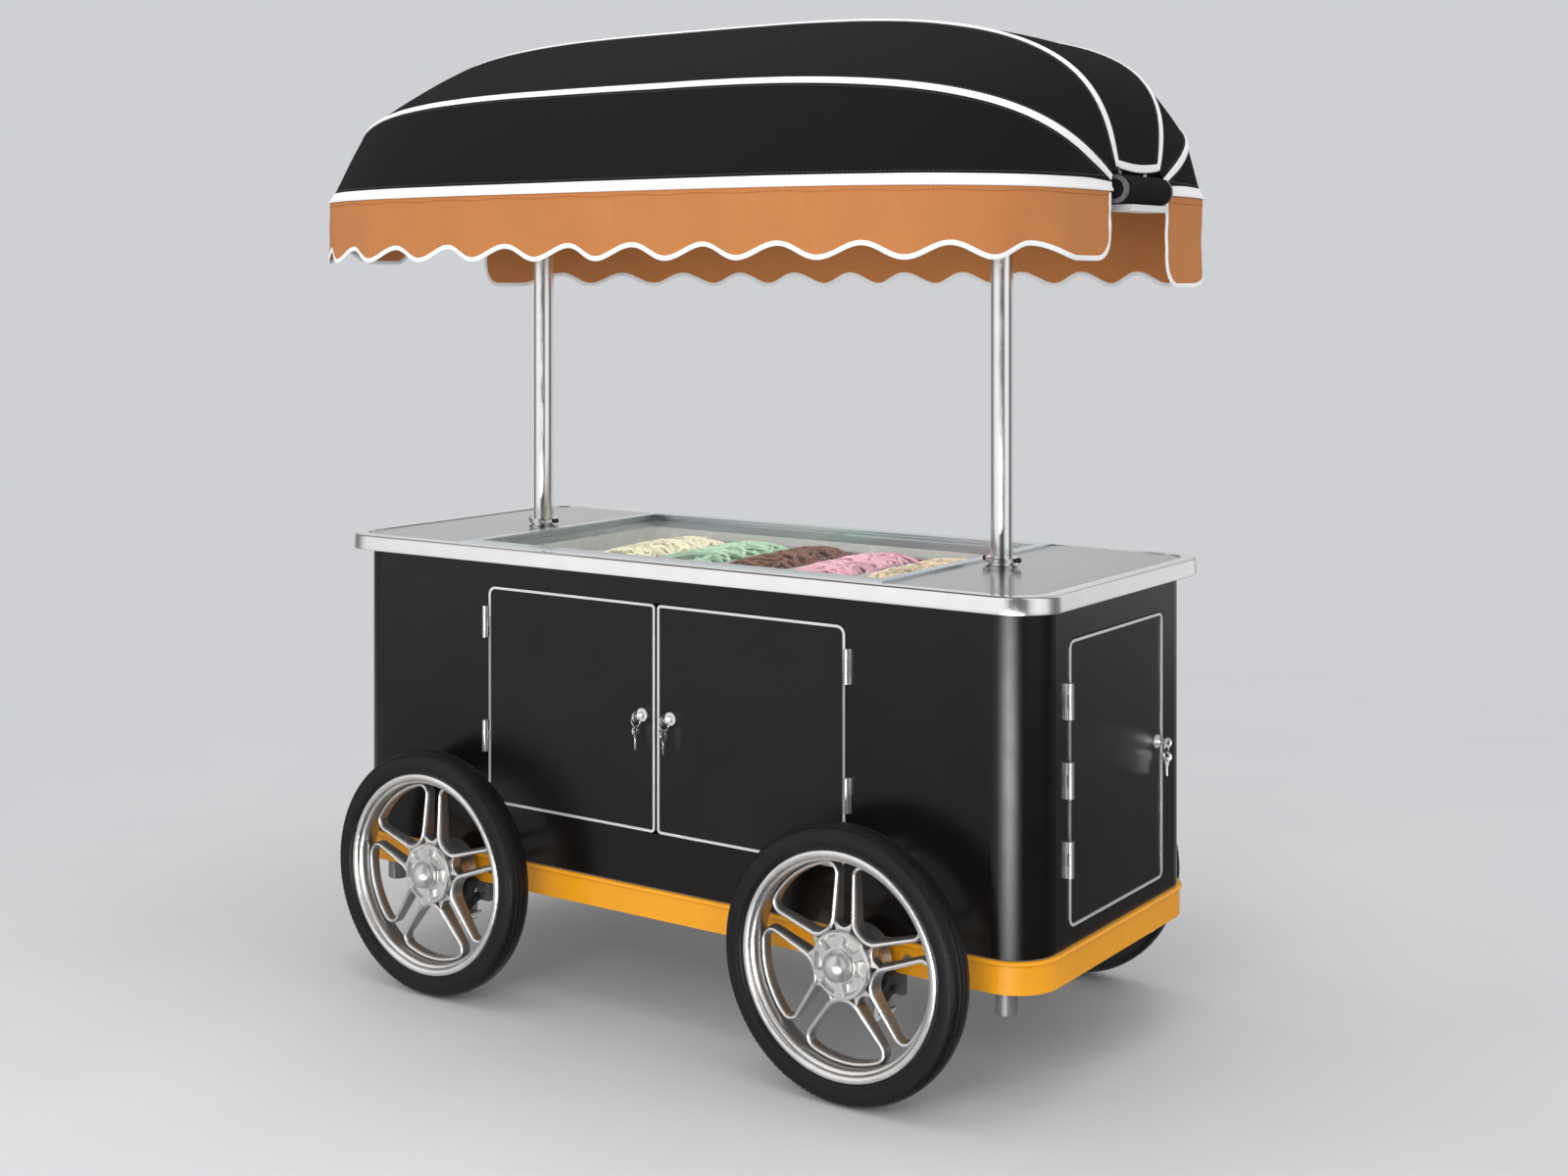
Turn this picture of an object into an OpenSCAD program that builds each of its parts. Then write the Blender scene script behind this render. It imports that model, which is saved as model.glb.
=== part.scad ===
// Ice cream push cart with a folding-hood canopy, four spoked wheels, two front doors,
// one end door, sliding glass over five ice cream pans. Millimetres, +Z up, front is -Y,
// the end with the door is +X, origin on the floor under the middle of the cart.

/* [Counter] */
// Length of the counter over its rim
counter_l = 1724; // [1200:1:2200]
// Depth of the counter over its rim
counter_d = 738; // [600:1:1000]
// Height of the counter top above the floor
counter_z = 920; // [850:1:1000]
// Height of the rim band
rim_h = 32; // [20:1:60]
// Corner radius of the counter in plan
counter_r = 90; // [60:1:120]

/* [Cabinet] */
// Length of the cabinet body
body_l = 1664; // [1100:1:2100]
// Depth of the cabinet body
body_d = 672; // [540:1:940]
// Corner radius of the body
body_r = 84; // [60:1:88]
// Thickness of the body panels
wall = 18; // [12:1:30]
// Height of the underside of the body
body_z = 276; // [240:1:320]

/* [Doors] */
// Half width of the front opening
door_x = 445; // [300:1:520]
// Lower edge of the front opening
door_z0 = 382; // [340:1:420]
// Upper edge of the front opening
door_z1 = 836; // [780:1:850]
// Half width of the end opening
end_y = 200; // [140:1:240]
// Lower edge of the end opening
end_z0 = 306; // [296:1:360]
// Upper edge of the end opening
end_z1 = 827; // [760:1:850]
// Gap between a door and its opening
door_gap = 2; // [1:0.5:4]
// Distance of the front locks from the middle
lock_x = 35; // [25:1:60]
// Height of the front locks
lock_z = 613; // [500:1:700]
// Place of the end lock along the end
end_lock_y = 173; // [120:1:190]
// Height of the end lock
end_lock_z = 577; // [450:1:700]

/* [Wheels] */
// Distance of the axles from the middle
wheel_x = 507; // [400:1:620]
// Distance of the wheel planes from the middle
wheel_y = 440; // [400:1:500]
// Radius of the tyre
tyre_r = 250; // [200:1:300]
// Radius of the rim lip
rim_r = 206; // [160:1:240]
// Radius of the brake drum on the hub
drum_r = 55; // [40:1:70]
// Radius of the axle
axle_r = 12.5; // [8:0.5:20]

/* [Chassis] */
// Lower edge of the skirt
skirt_z0 = 216; // [190:1:240]
// Upper edge of the skirt
skirt_z1 = 274; // [250:1:276]
// Place of the corner feet along the cart
foot_x = 754; // [700:1:780]
// Place of the corner feet across the cart
foot_y = 290; // [260:1:292]
// Radius of a foot
foot_r = 21; // [15:1:24]

/* [Display] */
// Outer half length of the glass frame
frame_x = 524; // [400:1:560]
// Outer half depth of the glass frame
frame_y = 338; // [280:1:340]
// Pitch of the pans
pan_pitch = 165; // [150:1:190]
// Length of a pan
pan_l = 360; // [250:1:400]

/* [Canopy] */
// Half length of the canopy between its rollers
hub_x = 874; // [700:1:1000]
// Height of the rollers
hub_z = 1639; // [1500:1:1800]
// Half distance between the ends of the front and back bows
hub_y = 75; // [50:1:110]
// Reach of the lower bow from the middle
bow0_y = 606; // [450:1:700]
// Reach of the middle bow from the middle
bow1_y = 473; // [350:1:600]
// Height of the middle bow
bow1_z = 1839; // [1750:1:1900]
// Reach of the top bow from the middle
bow2_y = 190; // [100:1:300]
// Height of the top bow
bow2_z = 1978; // [1900:1:2100]
// Squareness of the bows in plan
bow_n = 3.5; // [2:0.1:6]
// Distance of the posts from the middle
post_x = 587; // [500:1:640]
// Radius of the posts
post_r = 22; // [15:1:30]
// Mean depth of the front valance
valance_h = 118; // [60:1:200]
// Mean depth of the back valance
valance_back_h = 168; // [60:1:220]
// Height of the scallops
scallop_h = 25; // [0:1:50]
// Pitch of the scallops
scallop_pitch = 155; // [100:1:200]
// Number of scallops between the two wide end ones
scallops = 12; // [6:2:14]

/* [Hidden] */
$fn = 96;
rim_w = 30;
body_top = counter_z - rim_h;
ins_x = 548;
ins_y = 316;
well_x = 500;
well_y = 300;
well_z0 = 700;
plate_z1 = 744;
pan_z1 = 888;
pan_x0 = well_x - 20 - pan_pitch / 2;
pan_y = 20;
axle_z = tyre_r;
pin_dx = 40;
pin_z = 184;
hinge_r = 6;
hinge_l = 65;
front_hinges = [760, 522];
end_hinges = [717, 575, 433];
face_y = -body_d / 2;
face_x = body_l / 2;
key_out = 22;
bolt_dx = [-85, 75];
shoe_lean = 28;
valance_start = 45;
valance_corner = 52;
end_scallop = 120;

// Shared shapes
function unit(v) = v / norm(v);
function fillet(a, p, b, r, n) = r <= 0 ? [p] :
    let (u = unit(a - p), v = unit(b - p), h = acos(u * v) / 2, d = r / tan(h),
         c = p + unit(u + v) * r / sin(h), s = p + u * d - c, e = p + v * d - c,
         a0 = atan2(s[1], s[0]), a1 = atan2(e[1], e[0]),
         da = a1 - a0 > 180 ? a1 - a0 - 360 : a1 - a0 < -180 ? a1 - a0 + 360 : a1 - a0)
    [for (i = [0:n]) c + r * [cos(a0 + da * i / n), sin(a0 + da * i / n)]];
function rounded(p, r, n) = [for (i = [0:len(p) - 1])
    each fillet(p[(i + len(p) - 1) % len(p)], p[i], p[(i + 1) % len(p)], r[i], n)];

module rrect(l, d, r) {
    square([l - 2 * r, d], center = true);
    square([l, d - 2 * r], center = true);
    for (sx = [-1, 1], sy = [-1, 1])
        translate([sx * (l / 2 - r), sy * (d / 2 - r)]) circle(r = r);
}

module slab(z0, z1, l, d, r) {
    translate([0, 0, z0]) linear_extrude(z1 - z0) rrect(l, d, r);
}

// A profile carried round a rounded rectangle. The profile lies in x <= 0 below its outer edge.
module sweep_rrect(l, d, r) {
    for (sx = [-1, 1])
        translate([sx * l / 2, 0, 0]) mirror([sx < 0 ? 1 : 0, 0, 0])
            translate([0, d / 2 - r, 0]) rotate([90, 0, 0]) linear_extrude(d - 2 * r) children();
    for (sy = [-1, 1])
        translate([0, sy * d / 2, 0]) mirror([0, sy < 0 ? 1 : 0, 0])
            translate([-l / 2 + r, 0, 0]) rotate([90, 0, 90]) linear_extrude(l - 2 * r) children();
    for (q = [0:3])
        translate([(q == 0 || q == 3 ? 1 : -1) * (l / 2 - r), (q < 2 ? 1 : -1) * (d / 2 - r), 0])
            rotate([0, 0, 90 * q]) rotate_extrude(angle = 90) translate([r, 0]) children();
}

module at_wheel(sx, sy) {
    translate([sx * wheel_x, sy * wheel_y, axle_z]) rotate([sy < 0 ? 90 : -90, 0, 0]) children();
}

// Wheels: axis along Z, outside face up
module tyre() {
    color("#1a1a1b") rotate_extrude() polygon([[193, -20], [206.1, -20], [206.25, -24.4],
        [211, -28], [222, -30], [234, -28.5], [242, -24.5], [247, -18], [249.4, -10], [250, -3],
        [250, 3], [249.4, 10], [247, 18], [242, 24.5], [234, 28.5], [222, 30], [211, 28],
        [206.25, 24.4], [206.1, 20], [193, 20]] * (tyre_r / 250));
}

module spoke_window() {
    a = [69.5, 16.2];
    b = [153.6, 83.8];
    c = [168.2, 48.2];
    d = [174.3, 16.2];
    polygon(rounded([a, b, c, d, [d[0], -d[1]], [c[0], -c[1]], [b[0], -b[1]], [a[0], -a[1]]],
        [28, 15, 0, 0, 0, 0, 15, 28], 6));
}

module spoke_slot() {
    polygon(rounded([[64, 17.4], [183, 12.4], [183, -12.4], [64, -17.4]], [8, 4, 4, 8], 4));
}

module wheel() {
    color("#c9cacc") difference() {
        union() {
            rotate_extrude() polygon([[184, -22], [188, -24], [206, -24], [206, -20], [193, -20],
                [193, 20], [206, 20], [206, 22], [203, 26], [197, 27], [190, 25], [186, 19], [184, 10]]);
            translate([0, 0, -22]) linear_extrude(20) difference() {
                circle(r = 190);
                for (k = [0:4]) rotate(90 + 72 * k - 36) spoke_window();
                for (k = [0:4]) rotate(90 + 72 * k) spoke_slot();
            }
            translate([0, 0, -35]) cylinder(r = 61, h = 51);
            translate([0, 0, -75]) cylinder(r = drum_r, h = 41);
        }
        translate([0, 0, -80]) cylinder(r = axle_r + 2.55, h = 110);
        for (k = [0:9]) rotate(36 * k) translate([45, 0, 6]) cylinder(r = 7.5, h = 20);
    }
}

module axle_caps() {
    color("#d9dadc") for (sx = [-1, 1], sy = [-1, 1]) at_wheel(sx, sy) difference() {
        translate([0, 0, 16.6]) rotate_extrude() polygon([[0, 0], [30, 0], [30, 4], [28, 7], [27, 13],
            [22, 21], [15, 26], [7, 28.5], [0, 29]]);
        translate([0, 0, 10]) cylinder(r = axle_r, h = 26);
    }
}

module axles() {
    color("#8d8f92") for (sx = [-1, 1]) translate([sx * wheel_x, 0, axle_z]) rotate([90, 0, 0])
        cylinder(r = axle_r, h = 2 * wheel_y + 70, center = true);
}

module axle_bushes() {
    color("#a88a4e") for (sx = [-1, 1], sy = [-1, 1]) at_wheel(sx, sy) difference() {
        union() {
            translate([0, 0, -70]) cylinder(r = axle_r + 2.5, h = 85);
            translate([0, 0, -93]) cylinder(r = 19, h = 16.5);
            translate([0, 0, -80]) cylinder(r = axle_r + 2.5, h = 20);
        }
        translate([0, 0, -100]) cylinder(r = axle_r, h = 130);
    }
}

module axle_blocks() {
    color("#4b4d50") for (sx = [-1, 1], sy = [-1, 1])
        translate([sx * wheel_x, sy * 314, 0]) difference() {
            translate([-34, -18, skirt_z0 + 4]) cube([68, 36, body_z - skirt_z0 - 8]);
            translate([0, 0, axle_z]) rotate([90, 0, 0]) cylinder(r = axle_r, h = 60, center = true);
        }
}

// Chassis
module brake_bracket(sx, sy) {
    x = sx * wheel_x + pin_dx;
    translate([x - 18, sy > 0 ? 318 : -330, 172]) cube([36, 12, skirt_z0 - 172]);
    translate([x, sy * 318, pin_z]) rotate([sy < 0 ? 90 : -90, 0, 0]) {
        cylinder(r = 5, h = 84);
        translate([0, 0, 82]) cylinder(r = 8, h = 4);
    }
}

module chassis_frame() {
    color("#5c5e61") difference() {
        union() {
            difference() {
                slab(skirt_z0, body_z, body_l, body_d, body_r);
                slab(skirt_z0 + 4, body_z - 4, body_l - 8, body_d - 8, body_r - 4);
                slab(skirt_z0 - 1, body_z + 1, body_l - 88, body_d - 88, body_r - 44);
                for (sx = [-1, 1]) translate([sx * wheel_x, 0, axle_z]) rotate([90, 0, 0])
                    cylinder(r = axle_r + 1, h = body_d + 40, center = true);
                bolt_holes();
            }
            for (x = [-270, 270]) translate([x - 25, -body_d / 2 + 40, body_z - 8])
                cube([50, body_d - 80, 8]);
            for (sx = [-1, 1], sy = [-1, 1]) translate([sx * foot_x, sy * foot_y, skirt_z0])
                cylinder(r = foot_r + 4, h = 264);
            for (sx = [-1, 1], sy = [-1, 1]) brake_bracket(sx, sy);
        }
        for (sx = [-1, 1], sy = [-1, 1]) translate([sx * foot_x, sy * foot_y, skirt_z0 - 1])
            cylinder(r = foot_r + 0.05, h = 270);
    }
}

module chassis_skirt() {
    color("#f0a30c") union() {
        difference() {
            slab(skirt_z0, skirt_z1, body_l + 12, body_d + 12, body_r + 6);
            slab(skirt_z0 - 1, skirt_z1 + 1, body_l, body_d, body_r);
            for (sx = [-1, 1]) translate([sx * wheel_x, 0, axle_z]) rotate([90, 0, 0])
                cylinder(r = axle_r + 9, h = body_d + 40, center = true);
            bolt_holes();
        }
        translate([0, 0, skirt_z1 - 4]) sweep_rrect(body_l + 12, body_d + 12, body_r + 6) circle(r = 4.5);
    }
}

module bolt_holes() {
    for (sx = [-1, 1], dx = bolt_dx) translate([sx * wheel_x + dx, 0, 246]) rotate([90, 0, 0])
        cylinder(r = 4, h = body_d + 40, center = true);
}

module skirt_bolt() {
    translate([0, 0, -9]) cylinder(r = 4, h = 15.5);
    translate([0, 0, 6]) cylinder(r = 8, h = 5);
    translate([0, 0, -14]) cylinder(r = 8, h = 10, $fn = 6);
}

module chassis_bolts() {
    color("#9a9c9f") for (sx = [-1, 1], sy = [-1, 1], dx = bolt_dx)
        translate([sx * wheel_x + dx, sy * body_d / 2, 246]) rotate([sy < 0 ? 90 : -90, 0, 0]) skirt_bolt();
}

module foot(sx, sy) {
    color("#b9babd") translate([sx * foot_x, sy * foot_y, 0]) difference() {
        translate([0, 0, 166]) rotate_extrude() polygon([[0, 0], [foot_r - 2.5, 0], [foot_r, 2.5],
            [foot_r, 300], [0, 300]]);
        translate([0, 0, 174]) cylinder(r = foot_r - 3, h = 320);
    }
}

// Brake lever seen from the side: x along the cart from the axle, y up from the floor
module shoe_side() {
    difference() {
        union() {
            translate([pin_dx, pin_z]) rotate(-shoe_lean) translate([-7, 0]) square([14, 40]);
            translate([0, axle_z]) rotate(-shoe_lean) translate([drum_r - 2, -15]) square([20, 30]);
        }
        translate([0, axle_z]) circle(r = drum_r + 0.4);
    }
}

module pedal_side() {
    translate([pin_dx - 6, pin_z - 42]) square([12, 40]);
    translate([pin_dx - 22, pin_z - 6]) intersection() {
        difference() {
            circle(r = 44);
            circle(r = 39);
        }
        translate([2, -60]) square([60, 42]);
    }
}

module brake_lever(sx, sy) {
    color("#2b2c2e") translate([sx * wheel_x, 0, 0]) mirror([0, sy > 0 ? 1 : 0, 0]) difference() {
        union() {
            translate([0, -374, 0]) rotate([90, 0, 0]) linear_extrude(24) shoe_side();
            translate([0, -352, 0]) rotate([90, 0, 0]) linear_extrude(42) pedal_side();
            translate([pin_dx, -346, pin_z]) rotate([90, 0, 0]) cylinder(r = 10, h = 53.5);
        }
        translate([pin_dx, -300, pin_z]) rotate([90, 0, 0]) cylinder(r = 5.05, h = 140);
    }
}

// Cabinet
module opening_front(grow) {
    translate([0, face_y + wall + 1, (door_z0 + door_z1) / 2]) rotate([90, 0, 0])
        linear_extrude(wall + 2) rrect(2 * door_x + grow, door_z1 - door_z0 + grow, 20);
}

module opening_end(grow) {
    translate([face_x - wall - 1, 0, (end_z0 + end_z1) / 2]) rotate([90, 0, 90])
        linear_extrude(wall + 2) rrect(2 * end_y + grow, end_z1 - end_z0 + grow, 18);
}

module cabinet_shell() {
    color("#1d1d1e") union() {
        difference() {
            slab(body_z, body_top, body_l, body_d, body_r);
            slab(body_z - 1, body_top + 1, body_l - 2 * wall, body_d - 2 * wall, body_r - wall);
            opening_front(0);
            opening_end(0);
            for (sx = [-1, 1], sy = [-1, 1])
                translate([sx * body_l / 2 - 1, sy * (body_d / 2 - body_r) - 0.75, body_z - 1])
                    cube([2, 1.5, body_top - body_z + 2]);
        }
        translate([-17, face_y + wall + 1, door_z0 - 24]) cube([34, 15, door_z1 - door_z0 + 44]);
        translate([-17, face_y + wall - 2, door_z1 + 4]) cube([34, 6, 16]);
        translate([-17, face_y + wall - 2, door_z0 - 24]) cube([34, 6, 20]);
    }
}

module cabinet_floor() {
    color("#b4b5b7") difference() {
        slab(body_z, body_z + 8, body_l - 2 * wall, body_d - 2 * wall, body_r - wall);
        for (sx = [-1, 1], sy = [-1, 1]) translate([sx * foot_x, sy * foot_y, body_z - 1])
            cylinder(r = foot_r + 4, h = 12);
    }
}

module box_shell(x, y, z0, z1, t, tb) {
    difference() {
        translate([-x, -y, z0]) cube([2 * x, 2 * y, z1 - z0]);
        translate([-x + t[0], -y + t[1], z0 + tb]) cube([2 * (x - t[0]), 2 * (y - t[1]), z1 - z0]);
    }
}

module well_insulation() {
    color("#e6dfc8") difference() {
        box_shell(ins_x, ins_y, well_z0 - 42, body_top + 2,
            [ins_x - well_x - 2, ins_y - well_y - 2], 40);
        translate([-17.5, -ins_y - 1, well_z0 - 43])
            cube([35, ins_y - well_y - 1, door_z1 + 67 - well_z0]);
    }
}

module cold_well() {
    color("#c4c7c9") union() {
        box_shell(well_x + 2, well_y + 2, well_z0 - 2, body_top + 4, [2, 2], 2);
        difference() {
            translate([-well_x - 18, -well_y - 14, body_top + 2]) cube([2 * well_x + 36, 2 * well_y + 28, 2]);
            translate([-well_x, -well_y, body_top]) cube([2 * well_x, 2 * well_y, 10]);
        }
    }
}

module cold_plates() {
    color("#8fa3ad") for (sx = [-1, 1]) translate([sx * 248 - 235, -270, well_z0])
        cube([470, 540, plate_z1 - well_z0]);
}

// Counter and display
module counter_rim() {
    color("#d2d3d5") difference() {
        translate([0, 0, counter_z - rim_h]) sweep_rrect(counter_l, counter_d, counter_r)
            polygon(rounded([[-50, 0], [0, 0], [0, rim_h], [-rim_w, rim_h], [-rim_w, rim_h - 8],
                [-50, rim_h - 8]],
                [0, 5, 6, 0, 0, 0], 5));
        translate([-frame_x, -frame_y, counter_z - rim_h - 1]) cube([2 * frame_x, 2 * frame_y, rim_h + 2]);
        for (sx = [-1, 1]) translate([sx * post_x, 0, 0]) cylinder(r = 30, h = 2000);
    }
}

module counter_sheet() {
    color("#b7b9bc") difference() {
        slab(counter_z - 8, counter_z - 2, counter_l - 2 * rim_w, counter_d - 2 * rim_w, counter_r - rim_w);
        translate([-frame_x, -counter_d, counter_z - 20]) cube([2 * frame_x, 2 * counter_d, 40]);
        for (sx = [-1, 1]) translate([sx * post_x, 0, 0]) cylinder(r = post_r + 10.15, h = 2000);
    }
}

module display_frame() {
    z0 = body_top + 4;
    color("#a9bcc1") difference() {
        translate([-frame_x, -frame_y, z0]) cube([2 * frame_x, 2 * frame_y, counter_z + 2 - z0]);
        translate([-well_x, -well_y, z0 - 1]) cube([2 * well_x, 2 * well_y, 60]);
        for (z = [counter_z - 12.5, counter_z - 6]) translate([-well_x - 8, -well_y - 12, z])
            cube([2 * well_x + 16, 2 * well_y + 24, 5]);
    }
}

module glass(x0, x1, z) {
    color("#cfe3e2") translate([x0, -well_y - 11.5, z]) cube([x1 - x0, 2 * well_y + 23, 4]);
}

module pan() {
    w = pan_pitch - 7;
    difference() {
        union() {
            translate([-w / 2, -pan_l / 2, plate_z1]) cube([w, pan_l, pan_z1 - plate_z1]);
            translate([-w / 2 - 3, -pan_l / 2 - 4, pan_z1 - 2]) cube([w + 6, pan_l + 8, 2]);
        }
        translate([-w / 2 + 1.5, -pan_l / 2 + 1.5, plate_z1 + 1.5]) cube([w - 3, pan_l - 3, 200]);
    }
}

module gelato_pans() {
    color("#c9ccce") for (k = [0:4]) translate([pan_x0 - k * pan_pitch, pan_y, 0]) pan();
}

module ice_cream(k, c) {
    w = pan_pitch - 11;
    h = 32;
    r1 = (w * w / 4 + h * h) / (2 * h);
    z1 = pan_z1 - 14 + h;
    color(c) translate([pan_x0 - k * pan_pitch, pan_y, 0]) union() {
        translate([-w / 2, -pan_l / 2 + 2, plate_z1 + 1.5]) cube([w, pan_l - 4, pan_z1 - plate_z1 - 14]);
        intersection() {
            translate([-w / 2, -pan_l / 2 + 8, pan_z1 - 16]) cube([w, pan_l - 16, 80]);
            translate([0, 0, z1 - r1]) rotate([90, 0, 0]) cylinder(r = r1, h = 500, center = true);
            translate([0, 0, z1 - 420]) rotate([0, 90, 0]) cylinder(r = 420, h = 500, center = true);
        }
    }
}

// Doors: the outline is drawn in the plane of the face
module door_outline(w, h, r0, r1) {
    translate([0, -h / 2]) union() {
        translate([0, r0]) square([w, h - 2 * r0]);
        translate([r0, 0]) square([w - r0 - r1, h]);
        translate([w - r1 - 1, r1]) square([r1 + 1, h - 2 * r1]);
        for (y = [r0, h - r0]) translate([r0, y]) circle(r = r0);
        for (y = [r1, h - r1]) translate([w - r1, y]) circle(r = r1);
    }
}

module front_door_plane(sx) {
    translate([sx * (door_x - door_gap), face_y, (door_z0 + door_z1) / 2])
        mirror([sx > 0 ? 1 : 0, 0, 0]) rotate([90, 0, 0]) children();
}

module end_door_plane() {
    translate([face_x, -end_y + door_gap, (end_z0 + end_z1) / 2]) rotate([90, 0, 90]) children();
}

front_w = door_x - door_gap - 3;
front_h = door_z1 - door_z0 - 2 * door_gap;
end_w = 2 * end_y - 2 * door_gap;
end_h = end_z1 - end_z0 - 2 * door_gap;

module door_panel(w, h, r0, r1, lx, lz) {
    color("#232324") difference() {
        translate([0, 0, -wall]) linear_extrude(wall) door_outline(w, h, r0, r1);
        translate([lx, lz, -wall - 1]) cylinder(r = 9, h = wall + 2);
    }
}

module door_trim(w, h, r0, r1) {
    linear_extrude(2) difference() {
        door_outline(w, h, r0, r1);
        translate([5, 0]) door_outline(w - 10, h - 10, r0 - 5, r1 - 5);
    }
}

module door_leaf(z) {
    translate([-6, z - 10.2, 0.5]) cube([11, 20.4, 2.3]);
    translate([-6, z, 6.5]) rotate([90, 0, 0]) cylinder(r = hinge_r, h = 20.4, center = true);
}

module door_fittings(w, h, r0, r1, lx, lz, zs) {
    color("#cfd0d2") difference() {
        union() {
            door_trim(w, h, r0, r1);
            for (z = zs) door_leaf(z);
            translate([lx, lz, -wall - 4]) cylinder(r = 9, h = wall + 4);
            translate([lx, lz, 0]) cylinder(r = 13, h = 3);
        }
        translate([lx, lz, -60]) cylinder(r = 6.05, h = 100);
        for (z = zs) translate([-6, z, 6.5]) rotate([90, 0, 0]) cylinder(r = 2.55, h = 40, center = true);
    }
}

module hinge_base(z) {
    difference() {
        union() {
            for (s = [-1, 1]) translate([-6, z + s * 21.6, 6.5]) rotate([90, 0, 0])
                cylinder(r = hinge_r, h = 21.8, center = true);
            translate([-14, z - hinge_l / 2, 0]) cube([8, hinge_l, 2.3]);
            for (s = [-1, 1]) translate([-14, z + s * 21.6 - 10.9, 0]) cube([8, 21.8, 4]);
        }
        translate([-6, z, 6.5]) rotate([90, 0, 0]) cylinder(r = hinge_r + 0.4, h = 21.2, center = true);
    }
    translate([-6, z, 6.5]) rotate([90, 0, 0]) cylinder(r = 2.5, h = hinge_l - 1, center = true);
}

module hinge_bases() {
    color("#cfd0d2") {
        for (sx = [-1, 1], z = front_hinges) front_door_plane(sx)
            hinge_base(z - (door_z0 + door_z1) / 2);
        for (z = end_hinges) end_door_plane() hinge_base(z - (end_z0 + end_z1) / 2);
    }
}

// A lock plug with its key: axis along Z, out of the face; cam points up at rest
module lock_plug(cam) {
    color("#d8d9db") difference() {
        union() {
            translate([0, 0, -40]) cylinder(r = 6, h = 44);
            translate([-4, 0, -40]) cube([8, cam, 3]);
            translate([-1.2, -4, 3]) cube([2.4, 8, 12]);
            translate([-1.2, 0, key_out]) rotate([0, 90, 0]) cylinder(r = 11, h = 2.4);
        }
        translate([-5, 0, key_out]) rotate([0, 90, 0]) cylinder(r = 3.5, h = 10);
    }
}

module spare_key() {
    color("#c3c4c6") translate([0, 0, key_out]) {
        translate([0, -9.5, 0]) rotate_extrude() translate([10.5, 0]) circle(r = 1);
        difference() {
            union() {
                translate([-1.2, -28, 0]) rotate([0, 90, 0]) cylinder(r = 11, h = 2.4);
                translate([-1.2, -66, -4]) cube([2.4, 34, 8]);
            }
            translate([-5, -21, 0]) rotate([0, 90, 0]) cylinder(r = 2.5, h = 10);
        }
    }
}

module at_front_lock(sx) {
    translate([sx * lock_x, face_y, lock_z]) rotate([90, 0, 0]) children();
}

module at_end_lock() {
    translate([face_x, end_lock_y, end_lock_z]) rotate([90, 0, 90]) children();
}

// Canopy
module post(sx) {
    color("#cfd0d2") translate([sx * post_x, 0, 0]) difference() {
        translate([0, 0, 800.3]) cylinder(r = post_r, h = hub_z - 16 - 800.3);
        translate([0, 0, 700]) cylinder(r = post_r - 2, h = hub_z - 40 - 700);
    }
}

module post_collars() {
    color("#cfd0d2") for (sx = [-1, 1]) translate([sx * post_x, 0, 0]) {
        difference() {
            union() {
                translate([0, 0, 795]) cylinder(r = post_r + 4, h = counter_z + 14 - 795);
                translate([0, 0, counter_z - 14]) cylinder(r = post_r + 18, h = 6);
                translate([0, 0, counter_z - 8]) cylinder(r = post_r + 10, h = 11);
                translate([0, 0, counter_z + 8]) cylinder(r = post_r + 7, h = 8);
                for (s = [-1, 1]) translate([s * (post_r + 2), 0, counter_z + 12]) rotate([0, s * 90, 0]) {
                    cylinder(r = 2.5, h = 14);
                    translate([0, 0, 9]) cylinder(r = 5, h = 8);
                }
            }
            translate([0, 0, 800]) cylinder(r = post_r + 0.05, h = 300);
        }
    }
}

module canopy_ridge() {
    color("#6d6f72") difference() {
        union() {
            translate([0, 0, hub_z]) rotate([0, 90, 0]) cylinder(r = 16, h = 2 * hub_x - 52, center = true);
            for (sx = [-1, 1]) {
                translate([sx * post_x, 0, hub_z - 70]) cylinder(r = post_r + 4, h = 76);
                translate([sx * (hub_x - 28) - 3, -100, hub_z - 34]) cube([6, 200, 60]);
                translate([sx * hub_x - 26, -78, hub_z - 40]) cube([52, 156, 12]);
                translate([sx * hub_x, 0, hub_z]) rotate([90, 0, 0]) cylinder(r = 26, h = 200, center = true);
            }
        }
        for (sx = [-1, 1]) translate([sx * post_x, 0, hub_z - 200]) cylinder(r = post_r, h = 184);
    }
}

// Bow curve: i runs 0 at the right roller, bow_seg at the middle, 2 * bow_seg at the left roller
bow_seg = 20;
function turn(i) = i <= bow_seg ? 90 * pow(i / bow_seg, 1.75) : 180 - turn(2 * bow_seg - i);
function bow_c(t) = t == 90 ? 0 : (t < 90 ? 1 : -1) * pow(abs(cos(t)), 2 / bow_n);
function bow_s(t) = pow(abs(sin(t)), 2 / bow_n);
function bow_from(t, y0, y, z, g) =
    [(hub_x - g) * bow_c(t), -y0 - bow_s(t) * (y - y0), hub_z + bow_s(t) * (z - hub_z)];
function bow_pt(t, y, z, g) = bow_from(t, hub_y, y, z, g);
function flip(p) = [p[0], -p[1], p[2]];

// Faces of a thin sheet given as n rows of m points on one side, then n rows of m points on the other
function quad(a, b, c, d) = [[a, b, c], [a, c, d]];
function sheet_faces(n, m) = let (o = n * m) concat(
    [for (i = [0:n - 2], j = [0:m - 2]) let (a = i * m + j) each quad(a, a + 1, a + m + 1, a + m)],
    [for (i = [0:n - 2], j = [0:m - 2]) let (a = o + i * m + j) each quad(a, a + m, a + m + 1, a + 1)],
    [for (i = [0:n - 2]) let (a = i * m) each quad(a, a + m, o + a + m, o + a)],
    [for (i = [0:n - 2]) let (a = i * m + m - 1) each quad(a, o + a, o + a + m, a + m)],
    [for (j = [0:m - 2]) each quad(j, o + j, o + j + 1, j + 1)],
    [for (j = [0:m - 2]) let (a = (n - 1) * m + j) each quad(a, a + 1, o + a + 1, o + a)]);

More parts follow.
